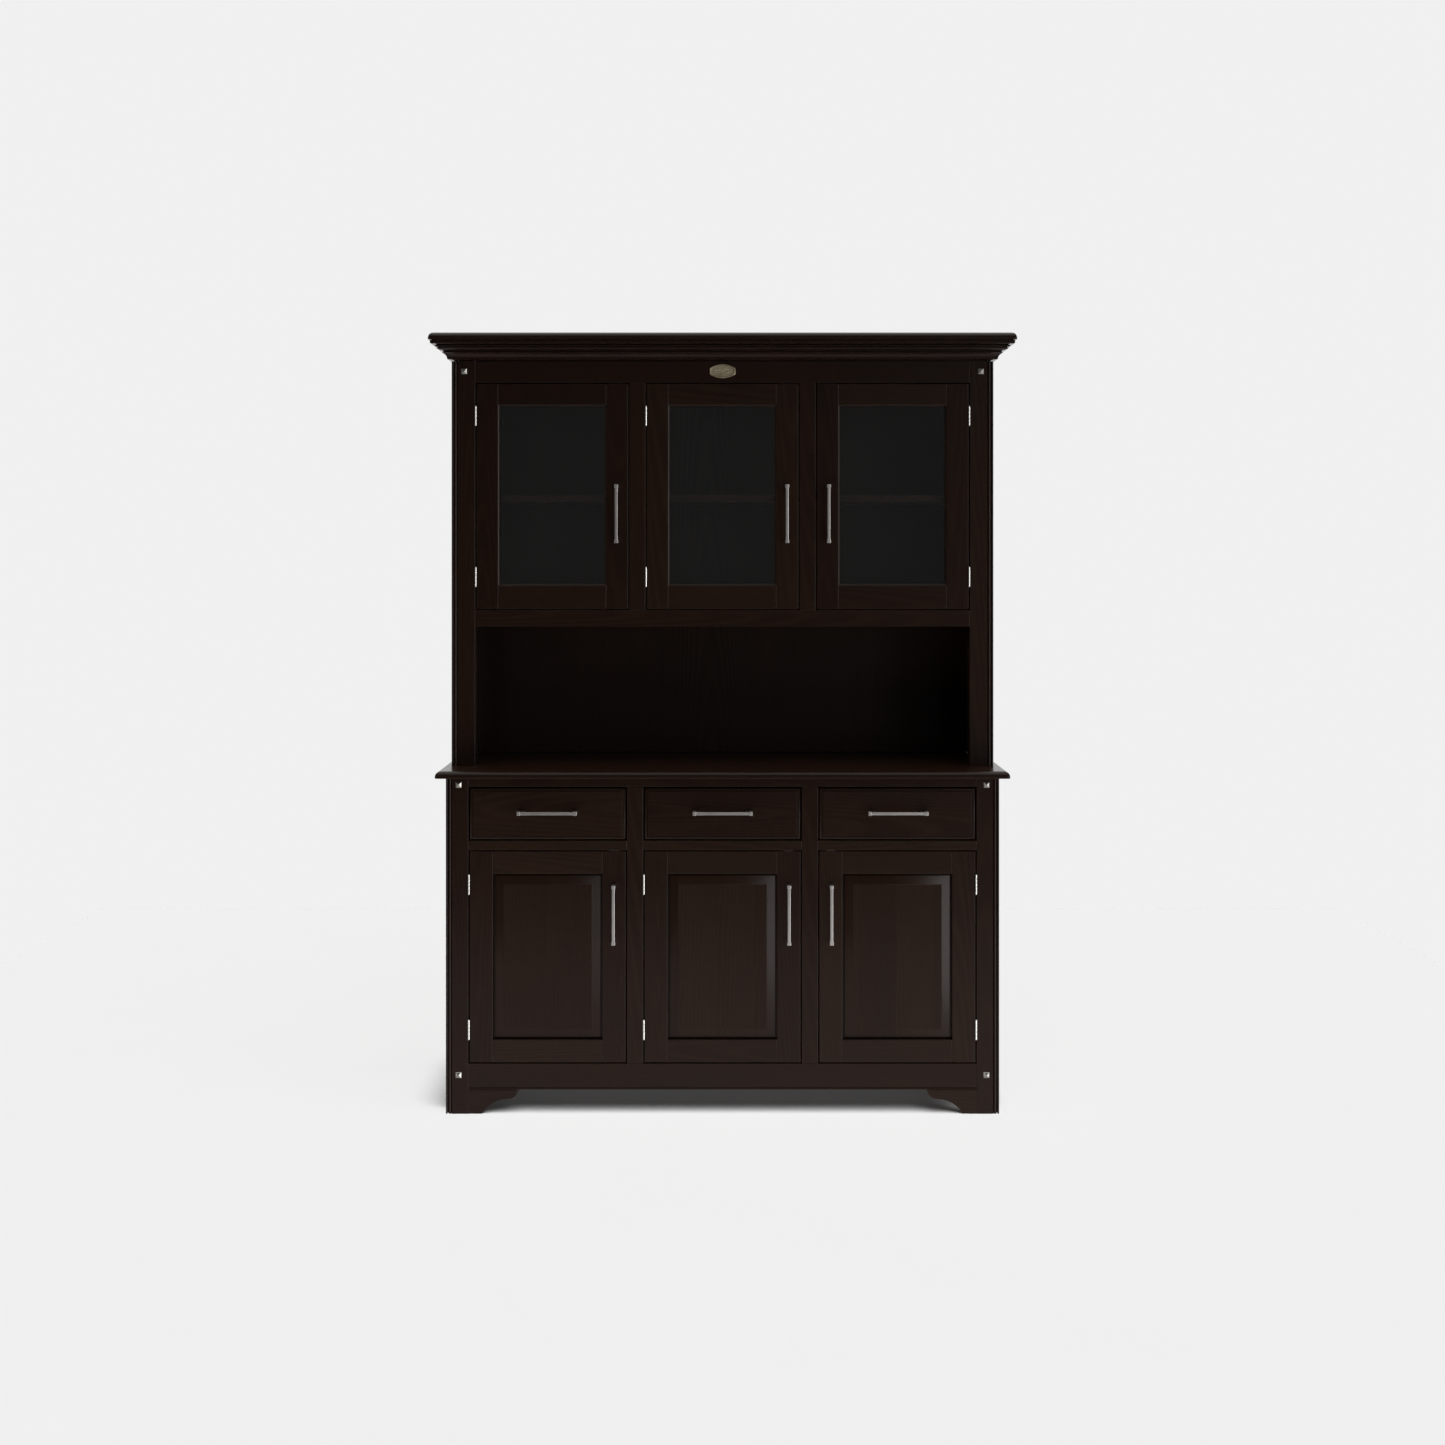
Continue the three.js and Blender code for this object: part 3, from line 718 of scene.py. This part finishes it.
def skirt_rail():
    """The front skirt: a rail with a quirk and a bead along its lower edge."""
    bead = 0.0025
    front, rear = buffet_front, buffet_front + board_thickness
    outline = [(rear, skirt_top), (front, skirt_top), (front, skirt_bottom + 0.008),
               (front + 0.0022, skirt_bottom + 0.0072), (front + 0.0022, skirt_bottom + 2 * bead + 0.0004)]
    outline += arc((front + bead, skirt_bottom + bead), (bead, bead), 90, 270, 8)
    outline.append((rear, skirt_bottom))
    board("buffet_skirt_rail", prism(outline, 0, (-buffet_open, buffet_open)), "x",
          stands_for=("buffet_face_frame",), radius=0.0006)


def build_buffet():
    flat_board("buffet_top", rounded_slab(*box_of("buffet_top"), radius=0.0145, under=0.002), radius=0.0)
    rear = buffet_front + board_thickness
    thick = (buffet_front, rear)
    for side, sign in SIDES:
        corner_post(f"buffet_corner_post_{side}", sign, buffet_open, buffet_front, (0.0, buffet_under),
                    (f"buffet_post_{side}",))
        carcass_end("buffet", side, sign, buffet_front, (0.0, buffet_under),
                    (skirt_top, buffet_under - end_rail))
        board(f"bracket_foot_{side}_board", prism(bracket(sign * buffet_open, -sign), 1, thick), "x",
              stands_for=(f"bracket_foot_{side}",))
        block = [(sign * buffet_open, rear), (sign * (buffet_open - glue_block[0]), rear),
                 (sign * buffet_open, rear + glue_block[1])]
        board(f"glue_block_{side}", prism(block, 2, (0.004, skirt_bottom)), "z")
    skirt_rail()
    board("buffet_top_rail", slab((-buffet_open, buffet_open), thick, (top_rail, buffet_under)), "x")
    for bay in BAYS:
        board(f"drawer_rail_{bay}", slab(bay_edges("buffet", bay), thick, (drawer_rail, drawer_deck)), "x")
    guide_rear = back_front - guide_end
    guide_levels = (drawer_deck, drawer_deck + guide_height)
    for name, across in between_bays("buffet"):
        board(f"buffet_mid_stile_{name}", slab(across, thick, (skirt_top, top_rail)), "z")
        board(f"drawer_guide_{name}", slab(across, (rear, guide_rear), guide_levels), "y")
    for side, sign in SIDES:
        guide = slab(side_range(sign, buffet_open, half_inside), (buffet_front + post_depth, guide_rear),
                     guide_levels)
        board(f"drawer_end_guide_{side}", guide, "y")
    flat_board("buffet_floor", notched(buffet_open, buffet_front, box_of("buffet_floor")[2]))
    flat_board("drawer_deck", notched(buffet_open, buffet_front, (box_of("drawer_deck")[2][0], drawer_deck)))
    flat_board("buffet_shelf", slab(*box_of("buffet_shelf")))
    board("buffet_back_panel", slab(*box_of("buffet_back")), "z", stands_for=("buffet_back",), rear=BACKING)


def crown_profile():
    """(projection, height) up the moulding: lip, cove, quirk, lip, quirk, fillet, quirk and top fillet."""
    points = [(0.0, 0.0), (0.0082, 0.0004), (0.0099, 0.0016), (0.0101, 0.0039)]
    points += curve(points[-1], (0.0118, 0.0124), (0.0220, 0.0170), 10)
    points += [(0.0185, 0.0180), (0.0190, 0.0222), (0.0268, 0.0230), (0.0312, 0.0246), (0.0340, 0.0270),
               (0.0342, 0.0280), (0.0310, 0.0286), (0.0310, 0.0304), (0.0360, 0.0308), (0.0372, 0.0316),
               (0.0374, 0.0346), (0.0366, 0.0354), (0.0335, 0.0358), (0.0335, 0.0368), (0.0470, 0.0372),
               (0.0482, 0.0382), (0.0486, 0.0404), (0.0486, 0.0460), (0.0440, 0.0464),
               (0.0440, cap_bottom - crown_foot), (0.0, cap_bottom - crown_foot)]
    return [(out, crown_foot + up) for out, up in points]


def build_crown():
    profile = crown_profile()
    corner = {sign: [(sign * (half_body + out), hutch_front - out, z) for out, z in profile]
              for _, sign in SIDES}
    board("crown_front", loft([corner[-1], corner[1]]), "x", stands_for=("crown_moulding",), radius=0.0)
    for side, sign in SIDES:
        rear = [(sign * (half_body + out), back_face, z) for out, z in profile]
        board(f"crown_return_{side}", loft([rear, corner[sign]]), "y", radius=0.0)
    flat_board("cornice_cap", rounded_slab(*box_of("cornice_cap"), radius=0.0155, under=0.0012), radius=0.0)


def build_hutch():
    levels = (buffet_height, cap_bottom)
    for side, sign in SIDES:
        stands_for = ("hutch_face_frame",) if side == "left" else ()
        corner_post(f"hutch_corner_post_{side}", sign, hutch_open, hutch_front, levels, stands_for,
                    crown_quirk)
        carcass_end("hutch", side, sign, hutch_front, levels, (buffet_height + end_rail, frieze))
    across = (-hutch_open, hutch_open)
    thick = (hutch_front, hutch_front + board_thickness)
    sawn = (across, (hutch_front, hutch_front + quirk_depth), crown_quirk)
    board("frieze_rail", solid([(across, thick, (frieze, cap_bottom))], [sawn]), "x", radius=0.0008)
    board("hutch_sill_rail", slab(across, thick, (niche_top, hutch_sill)), "x")
    for name, between in between_bays("hutch"):
        board(f"hutch_mid_stile_{name}", slab(between, thick, (hutch_sill, frieze)), "z")
    flat_board("hutch_floor", notched(hutch_open, hutch_front, box_of("hutch_floor")[2]))
    flat_board("hutch_shelf", slab(*box_of("hutch_shelf")))
    board("hutch_back_panel", slab(*box_of("hutch_back")), "z", stands_for=("hutch_back",), rear=BACKING)


# ---------- doors, drawers
def framed(unit, bay, sizes, cut):
    """The two stiles and two rails of a door, each cut on its inner edge for the glass or the panel."""
    body = f"{unit}_door_{bay}"
    x, y, z = box_of(f"{body}_frame")
    inner_x = (x[0] + sizes["stile"], x[1] - sizes["stile"])
    inner_z = (z[0] + sizes["bottom"], z[1] - sizes["top"])
    slot = ((inner_x[0] - rebate, inner_x[1] + rebate), (y[0] + cut[0], y[0] + cut[1]),
            (inner_z[0] - rebate, inner_z[1] + rebate))
    members = {
        "stile_left": ((x[0], inner_x[0]), z), "stile_right": ((inner_x[1], x[1]), z),
        "rail_top": (inner_x, (inner_z[1], z[1])), "rail_bottom": (inner_x, (z[0], inner_z[0])),
    }
    for name, (across, up) in members.items():
        board(f"{body}_{name}", solid([(across, y, up)], [slot]), "z" if "stile" in name else "x", body,
              (f"{body}_frame",) if name == "stile_left" else ())
    return body, inner_x, y[0], inner_z


def glazed_door(bay):
    """A glazed door: the pane sits in a rebate behind a thin bead, held from behind by four mitred stops."""
    body, x, front, z = framed("hutch", bay, glass_door, (glass_front, board_thickness + 0.001))
    piece(f"{body}_pane", slab(*box_of(f"{body}_glass")), GLASS, body, (f"{body}_glass",),
          radius=edge_bevel)
    bead = [(0.0, 0.0016), *arc((0.0004, 0.0068), (0.0032, 0.0048), -85, 0, 6), (0.0036, 0.0119),
            (0.0, 0.0119)]
    stop = [(-0.0072, 0.0157), (0.0, 0.0157), (0.0, 0.0190), (-0.0008, 0.0197), (-0.0072, 0.0197)]
    mitred(body, "bead", bead, x, z, front)
    mitred(body, "stop", stop, x, z, front)


def panelled_door(bay):
    """A raised-panel door: a loose tongue in the groove, and a field that stands up from a wide bevel."""
    body, _, front, _ = framed("buffet", bay, panel_door, groove)
    x, _, z = box_of(f"{body}_panel")
    # (inset from the panel's edge, depth behind the door's face)
    steps = [(0.0, 0.0152), (0.0, 0.0140), (0.0120, 0.0140), (0.0123, 0.0092), (0.0129, 0.0083),
             (0.0332, 0.0022), (0.0336, 0.0016), (0.0340, 0.0012), (0.0348, 0.0010)]
    rings = [rectangle_ring(x, z, inset, front + depth) for inset, depth in steps]
    board(f"{body}_raised_panel", loft(rings), "z", body, (f"{body}_panel",), radius=0.0, staved=True)


def drawer(bay):
    """A drawer: an applied moulded front on a finger-jointed box with a loose bottom."""
    body = f"drawer_{bay}"
    x, y, z = box_of(f"{body}_front")
    # (inset from the front's edge, depth behind its face)
    steps = [(0.0006, 0.020), (0.0, 0.0194), (0.0, 0.0055)]
    steps += [(0.0058 * (1 - math.cos(a)), 0.0055 - 0.0046 * math.sin(a)) for a in quarter(7)[1:]]
    steps += [(0.0070, 0.0009), (0.0073, 0.0032), (0.0084, 0.0032), (0.0087, 0.0006), (0.0094, 0.0)]
    rings = [rectangle_ring(x, z, inset, y[0] + depth) for inset, depth in steps]
    board(f"{body}_moulded_front", loft(rings), "x", body, (f"{body}_front",), radius=0.0)
    x, y, z = box_of(f"{body}_box")
    tall = (z[1] - z[0]) / drawer_fingers
    fingers = [(z[0] + i * tall, z[0] + (i + 1) * tall) for i in range(drawer_fingers)]
    ends = {"front": (y[0], y[0] + drawer_wall), "rear": (y[1] - drawer_wall, y[1])}
    walls = {"left": (x[0], x[0] + drawer_wall), "right": (x[1] - drawer_wall, x[1])}
    for name, across in walls.items():
        cuts = [(across, end, up) for end in ends.values() for up in fingers[1::2]]
        stands_for = (f"{body}_box",) if name == "left" else ()
        raw_board(f"{body}_side_{name}", solid([(across, y, z)], cuts), "y", body, stands_for)
    for name, deep in ends.items():
        cuts = [(across, deep, up) for across in walls.values() for up in fingers[0::2]]
        raw_board(f"{body}_{name}_wall", solid([(x, deep, z)], cuts), "x", body)
    base = slab((x[0] + drawer_wall, x[1] - drawer_wall), (y[0] + drawer_wall, y[1] - drawer_wall),
                (z[0], z[0] + drawer_base))
    raw_board(f"{body}_bottom", base, "x", body)


# ---------- hardware
def screw(place, axis, direction, radius=0.0034):
    """A raised countersunk head with a drilled socket, standing out of a surface."""
    tall = radius * 0.42
    profile = [(radius, 0.0), (radius, tall * 0.25), (radius * 0.86, tall * 0.72), (radius * 0.55, tall),
               (radius * 0.34, tall), (radius * 0.30, tall * 0.35), (0.0, tall * 0.25)]
    return turned(profile, axis, place, direction, 14)


def bar_outline():
    """Half-width and height of the pull from its feet: a bar on two legs that flare into it."""
    half = handle_length / 2 - handle_step
    front = handle_projection - handle_step
    inside = handle_projection - handle_section
    leg = handle_length / 2 - handle_leg
    flare = arc((leg - handle_fillet, inside - handle_fillet), (handle_fillet, handle_fillet), 0, 90, 8)
    right = [(leg, 0.0), *flare]
    left = [(-u, v) for u, v in reversed(right)]
    return [(-half, 0.0), (-half, front), (half, front), (half, 0.0), *right, *left]


def bar_pull(body, upright):
    """A bar pull with a slightly wider block at each end, and its two fixing screws on the inner face."""
    node = f"{body}_handle"
    low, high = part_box(node)
    middle = (low + high) / 2
    half = handle_bar / 2
    if upright:
        outline = [(high.y - out, middle.z + along) for along, out in bar_outline()]
        bar = prism(outline, 0, (middle.x - half, middle.x + half))
    else:
        outline = [(middle.x + along, high.y - out) for along, out in bar_outline()]
        bar = prism(outline, 2, (middle.z - half, middle.z + half))
    reach = (handle_length - handle_leg) / 2
    across = (-handle_section / 2, handle_section / 2)
    deep = (high.y - handle_projection, high.y)
    parts = [bar]
    for along in ((-handle_length / 2, -reach), (reach, handle_length / 2)):
        wide, tall = (across, along) if upright else (along, across)
        parts.append(slab([middle.x + u for u in wide], deep, [middle.z + v for v in tall]))
    metal = NICKEL if upright else NICKEL_ACROSS
    piece(f"{node}_bar", merged(*parts), metal, body, (node,), radius=0.0009)
    inner = high.y + (board_thickness if upright else board_thickness + drawer_wall)
    heads = []
    for offset in (-reach, reach):
        place = (middle.x, inner, middle.z + offset) if upright else (middle.x + offset, inner, middle.z)
        heads.append(screw(place, 1, 1, 0.0042))
    piece(f"{node}_screws", merged(*heads), ZINC, body)


def hinge(unit, bay, end):
    """A butt hinge: five knuckles on one pin, three on the frame's leaf and two on the door's."""
    node = f"{unit}_hinge_{bay}_{end}"
    low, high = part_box(node)
    front = hutch_front if unit == "hutch" else buffet_front
    right = bay == "right"
    edge = bay_edges(unit, bay)[1 if right else 0]
    inward = -1 if right else 1
    pin = (edge + inward * gap / 2, front - knuckle_forward)
    length = (high.z - low.z) / knuckle_count
    base, tip = 0.0001, length - 0.0001
    for part, first in (("frame", 0), ("door", 1)):
        meshes = []
        for k in range(first, knuckle_count, 2):
            profile = [(0.0, base), (knuckle_radius - 0.0004, base), (knuckle_radius, base + 0.0004),
                       (knuckle_radius, tip - 0.0004), (knuckle_radius - 0.0004, tip), (0.0, tip)]
            meshes.append(turned(profile, 2, (*pin, low.z + k * length)))
        if part == "frame":
            near, far = edge, edge + inward * leaf_thickness
            for level, direction in ((low.z, -1), (high.z, 1)):
                cap = [(0.0021, 0.0), (0.0021, 0.0004), (0.0015, 0.0012), (0.0, 0.0015)]
                meshes.append(turned(cap, 2, (*pin, level), direction, 14))
        else:
            near, far = edge + inward * gap, edge + inward * (gap - leaf_thickness)
        leaf = slab((min(near, far), max(near, far)), (front - knuckle_forward, front + leaf_depth),
                    (low.z + 0.0005, high.z - 0.0005))
        meshes.append(ease(leaf, edge_bevel, 2))
        for step in (0.2, 0.5, 0.8):
            back = leaf_depth * (0.72 if step == 0.5 else 0.42)
            place = (far, front + back, low.z + (high.z - low.z) * step)
            meshes.append(screw(place, 0, 1 if far > near else -1, 0.0021))
        body, stands_for = ("root", (node,)) if part == "frame" else (f"{unit}_door_{bay}", ())
        piece(f"{node}_{part}_leaf", merged(*meshes), HINGE_STEEL, body, stands_for)


def stud(name, sign, front, level):
    """A square nail head: four facets that rise to a blunt point."""
    x = sign * (half_body - stud_inset)
    steps = [(stud_half - 0.0004, 0.0), (stud_half, 0.0004), (stud_half, 0.0012),
             (stud_half - 0.0005, 0.0018), (0.0009, 0.0054), (0.0003, 0.0057)]
    rings = [rectangle_ring((x, x), (level, level), -half, front - rise) for half, rise in steps]
    piece(name, loft(rings), STUD_STEEL)


def plaque():
    """A barrel-shaped brass plate with a raised rim and a plain leaf sprig in low relief."""
    x, y, z = box_of("frieze_plaque")
    middle, half, tall = (x[0] + x[1]) / 2, (x[1] - x[0]) / 2, (z[1] - z[0]) / 2
    level = (z[0] + z[1]) / 2
    end = tall * 0.45

    def outline(inset, depth):
        top = curve((-half + inset, end - inset * 0.6), (0.0, 2 * tall - end - inset * 1.4),
                    (half - inset, end - inset * 0.6), 16)
        upper = [(-half + inset, end - inset * 0.6), *top]
        ring = upper + [(u, -v) for u, v in reversed(upper)]
        return [(middle + u, y[1] - depth, level + v) for u, v in ring]

    steps = [(0.0, 0.0), (0.0, 0.0018), (0.0005, 0.0026), (0.0016, 0.0030), (0.0028, 0.0027),
             (0.0034, 0.0016), (0.0046, 0.0014), (0.0100, 0.0016)]
    meshes = [loft([outline(inset, depth) for inset, depth in steps])]
    face = y[1] - 0.0014
    oval = [(0.0, -0.5), (0.3, -0.38), (0.46, -0.16), (0.5, 0.0), (0.46, 0.16), (0.3, 0.38), (0.0, 0.5)]

    def bead(u, v, length, width, angle):
        bud = turned(oval, 0, (0, 0, 0), 1, 12)
        for vert in bud.verts:
            along, out, up = vert.co.x * length, vert.co.y * 0.0018, vert.co.z * width
            vert.co = Vector((middle + u + along * math.cos(angle) - up * math.sin(angle), face + out,
                              level + v + along * math.sin(angle) + up * math.cos(angle)))
        meshes.append(bud)

    for direction in (-1, 1):
        bead(direction * 0.011, 0.0, 0.024, 0.0016, 0.0)
        for i in range(4):
            for up in (-1, 1):
                bead(direction * (0.0055 + 0.0046 * i), up * (0.0036 - 0.0004 * i), 0.0064 - 0.0007 * i,
                     0.0027, direction * up * 0.7)
    bead(0.0, 0.0, 0.0060, 0.0060, 0.0)
    piece("frieze_plaque_relief", merged(*meshes), BRASS, "root", ("frieze_plaque",))


def catch(unit, bay, level, front):
    """A magnetic catch under the rail above a door, near its handle, and its striker plate on the door."""
    body = f"{unit}_door_{bay}"
    handle = (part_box(f"{body}_handle")[0].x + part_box(f"{body}_handle")[1].x) / 2
    rear = front + board_thickness
    case = solid([((handle - 0.022, handle + 0.022), (rear + 0.0015, rear + 0.015), (level - 0.012, level)),
                  ((handle - 0.012, handle + 0.012), (rear + 0.0012, rear + 0.018), (level - 0.014, level))])
    piece(f"{body}_catch", case, BROWN_PLASTIC, radius=0.001)
    low = level - 0.016
    face = rear + 0.0009
    plate = slab((handle - 0.011, handle + 0.011), (rear, face), (low - 0.002, low + 0.010))
    head = screw((handle, face, low + 0.004), 1, 1, 0.0022)
    piece(f"{body}_striker", merged(ease(plate, edge_bevel, 2), head), ZINC, body)


def shelf_fittings(unit, side, sign):
    """Brass pins under a shelf's end, and the rows of sleeves that they can move to."""
    _, y, z = box_of(f"{unit}_shelf")
    face = sign * half_inside
    inward = -sign
    sleeve = [(0.0, -0.004), (0.0025, -0.004), (0.0025, 0.0), (0.0026, 0.0003), (0.0036, 0.0003),
              (0.0038, 0.0)]
    post = [(0.0024, -0.003), (0.0024, 0.0004), (0.0042, 0.0004), (0.0042, 0.0014), (0.0026, 0.0018),
            (0.0026, 0.0085), (0.0020, 0.0092), (0.0, 0.0092)]
    sleeves, pins = [], []
    for row in (y[0] + pin_inset, y[1] - pin_inset):
        for i in range(pin_count):
            sleeves.append(turned(sleeve, 0, (face, row, pin_levels[unit] + pin_pitch * i), inward, 14))
        pins.append(turned(post, 0, (face, row, z[0] - 0.0027), inward, 14))
    piece(f"{unit}_pin_sleeves_{side}", merged(*sleeves), BRASS)
    piece(f"{unit}_shelf_pins_{side}", merged(*pins), BRASS)


def back_screws(node):
    """Screws round the edge of a back panel."""
    x, y, z = box_of(node)
    left, right = x[0] + back_screw_inset, x[1] - back_screw_inset
    low, high = z[0] + back_screw_inset, z[1] - back_screw_inset
    spots = []
    for i in range(back_screws_across):
        across = left + (right - left) * i / (back_screws_across - 1)
        spots += [(across, low), (across, high)]
    for i in range(1, back_screws_up + 1):
        up = z[0] + (z[1] - z[0]) * i / (back_screws_up + 1)
        spots += [(left, up), (right, up)]
    piece(f"{node}_screws", merged(*(screw((u, y[1], v), 1, 1, 0.0032) for u, v in spots)), ZINC)


def joining_plate(side, sign):
    """A steel plate screwed across the joint between the two units, on the rear stiles."""
    x = side_range(sign, half_inside + plate_margin, half_body - plate_margin)
    outer = back_face + plate_thickness
    low, high = buffet_under - plate_reach[0], buffet_height + plate_reach[1]
    plate = ease(slab(x, (back_face, outer), (low, high)), 0.0006, 2)
    levels = (low + 0.011, low + 0.031, high - 0.034, high - 0.012)
    heads = [screw(((x[0] + x[1]) / 2, outer, level), 1, 1, 0.0030) for level in levels]
    piece(f"joining_plate_{side}", merged(plate, *heads), ZINC)


def build_hardware():
    for bay in BAYS:
        for unit in ("hutch", "buffet"):
            bar_pull(f"{unit}_door_{bay}", upright=True)
            for end in ("lower", "upper"):
                hinge(unit, bay, end)
        bar_pull(f"drawer_{bay}", upright=False)
        catch("hutch", bay, frieze, hutch_front)
        catch("buffet", bay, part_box("drawer_deck")[0].z, buffet_front)
    plaque()
    for side, sign in SIDES:
        stud(f"hutch_stud_{side}", sign, hutch_front, stud_levels["hutch"])
        stud(f"buffet_upper_stud_{side}", sign, buffet_front, stud_levels["buffet_upper"])
        stud(f"buffet_lower_stud_{side}", sign, buffet_front, stud_levels["buffet_lower"])
        shelf_fittings("hutch", side, sign)
        shelf_fittings("buffet", side, sign)
        joining_plate(side, sign)
    back_screws("hutch_back")
    back_screws("buffet_back")


# ---------- camera, stage, light
def build_stage():
    floor = bpy.data.meshes.new("studio_floor")
    half = floor_half
    corners = [(-half, -half, 0), (half, -half, 0), (half, half, 0), (-half, half, 0)]
    floor.from_pydata(corners, [], [(0, 1, 2, 3)])
    floor.materials.append(studio_floor())
    made = placed("studio_floor", floor)
    return made


def build_world():
    """A pale backdrop, and round the object a dim room that brightens above and behind it."""
    world = bpy.data.worlds.new("studio")
    bpy.context.scene.world = world
    shade = Shader.bare(world)
    parts = shade.node("SeparateXYZ", {0: shade.node("TexCoord").outputs["Generated"]}).outputs
    behind = shade.remap(parts[1], room_front, room_back, -0.05, 0.55)
    left = shade.remap(parts[0], room_left, 0.0, -0.95, -0.75)
    above = shade.remap(parts[2], 0.0, room_above, 0.70, 0.90)
    room = shade.add(shade.add(behind, left), above)
    path = shade.node("LightPath").outputs
    shaded = shade.between(path["Is Diffuse Ray"], room, room_soft)
    level = shade.between(path["Is Camera Ray"], shaded, backdrop)
    light = shade.node("Background", {"Color": (1.0, 1.0, 1.0, 1.0), "Strength": level}).outputs[0]
    shade.node("OutputWorld", {"Surface": light})


def linked(name, pieces, state="INCLUDE"):
    """A collection that tells a light which pieces it reaches, or with EXCLUDE which it passes by."""
    made = bpy.data.collections.new(name)
    for each in pieces:
        made.objects.link(each)
    for entry in made.collection_objects:
        entry.light_linking.link_state = state
    return made


def sun(name, azimuth, elevation, strength, spread, receivers, blockers=None):
    """A large soft light that reaches the receivers only. With blockers, only they shade it."""
    lamp = bpy.data.lights.new(name, "SUN")
    lamp.energy = strength
    lamp.angle = math.radians(spread)
    made = placed(name, lamp)
    turn, rise = math.radians(azimuth), math.radians(elevation)
    towards = Vector((math.sin(turn) * math.cos(rise), -math.cos(turn) * math.cos(rise), math.sin(rise)))
    made.rotation_mode = "QUATERNION"
    made.rotation_quaternion = towards.to_track_quat("Z", "Y")
    made.light_linking.receiver_collection = receivers
    made.light_linking.blocker_collection = blockers
    return made


def build_under_light():
    """A faint panel under the carcass, in place of what the floor bounces back there."""
    lamp = bpy.data.lights.new("under_light", "AREA")
    lamp.shape = "RECTANGLE"
    lamp.size, lamp.size_y = under_size
    lamp.energy = under_strength
    placed("under_light", lamp).location = (0.0, 0.0, under_level)


def build_lights(floor):
    """The floor has its own sun, which only the lowest boards shade, and the other suns pass the floor by.

    The edge light is only mirrored, and passes the panes by too.
    """
    pieces = bpy.context.scene.objects
    low = [made for made in pieces if made.name.startswith(low_boards) or "_bracket_" in made.name]
    panes = [made for made in pieces if made.name.endswith("_pane")]
    beside = linked("all_but_floor", [floor], "EXCLUDE")
    floor_only = linked("floor_only", [floor])
    sun("floor_light", **floor_sun, receivers=floor_only, blockers=linked("floor_shaders", low))
    build_under_light()
    sun("key_light", **key_sun, receivers=beside)
    over_floor = linked("edge_shaders", [floor], "EXCLUDE")
    wood_and_metal = linked("all_but_floor_and_panes", [floor, *panes], "EXCLUDE")
    edge = sun("edge_light", **edge_sun, receivers=wood_and_metal, blockers=over_floor)
    edge.visible_diffuse = False
    sun("top_light", **top_sun, receivers=beside)


def build_camera():
    data = bpy.data.cameras.new("camera")
    data.lens = camera_lens
    data.sensor_width = 36.0
    data.shift_y = camera_shift
    data.clip_end = 100.0
    made = placed("camera", data)
    made.location = (0.0, buffet_front - camera_distance, camera_height)
    made.rotation_euler = (math.pi / 2, 0.0, 0.0)
    bpy.context.scene.camera = made


build_buffet()
build_hutch()
build_crown()
for bay in BAYS:
    glazed_door(bay)
    panelled_door(bay)
    drawer(bay)
build_hardware()
build_world()
build_lights(build_stage())
build_camera()
bpy.context.scene.view_settings.view_transform = "Standard"
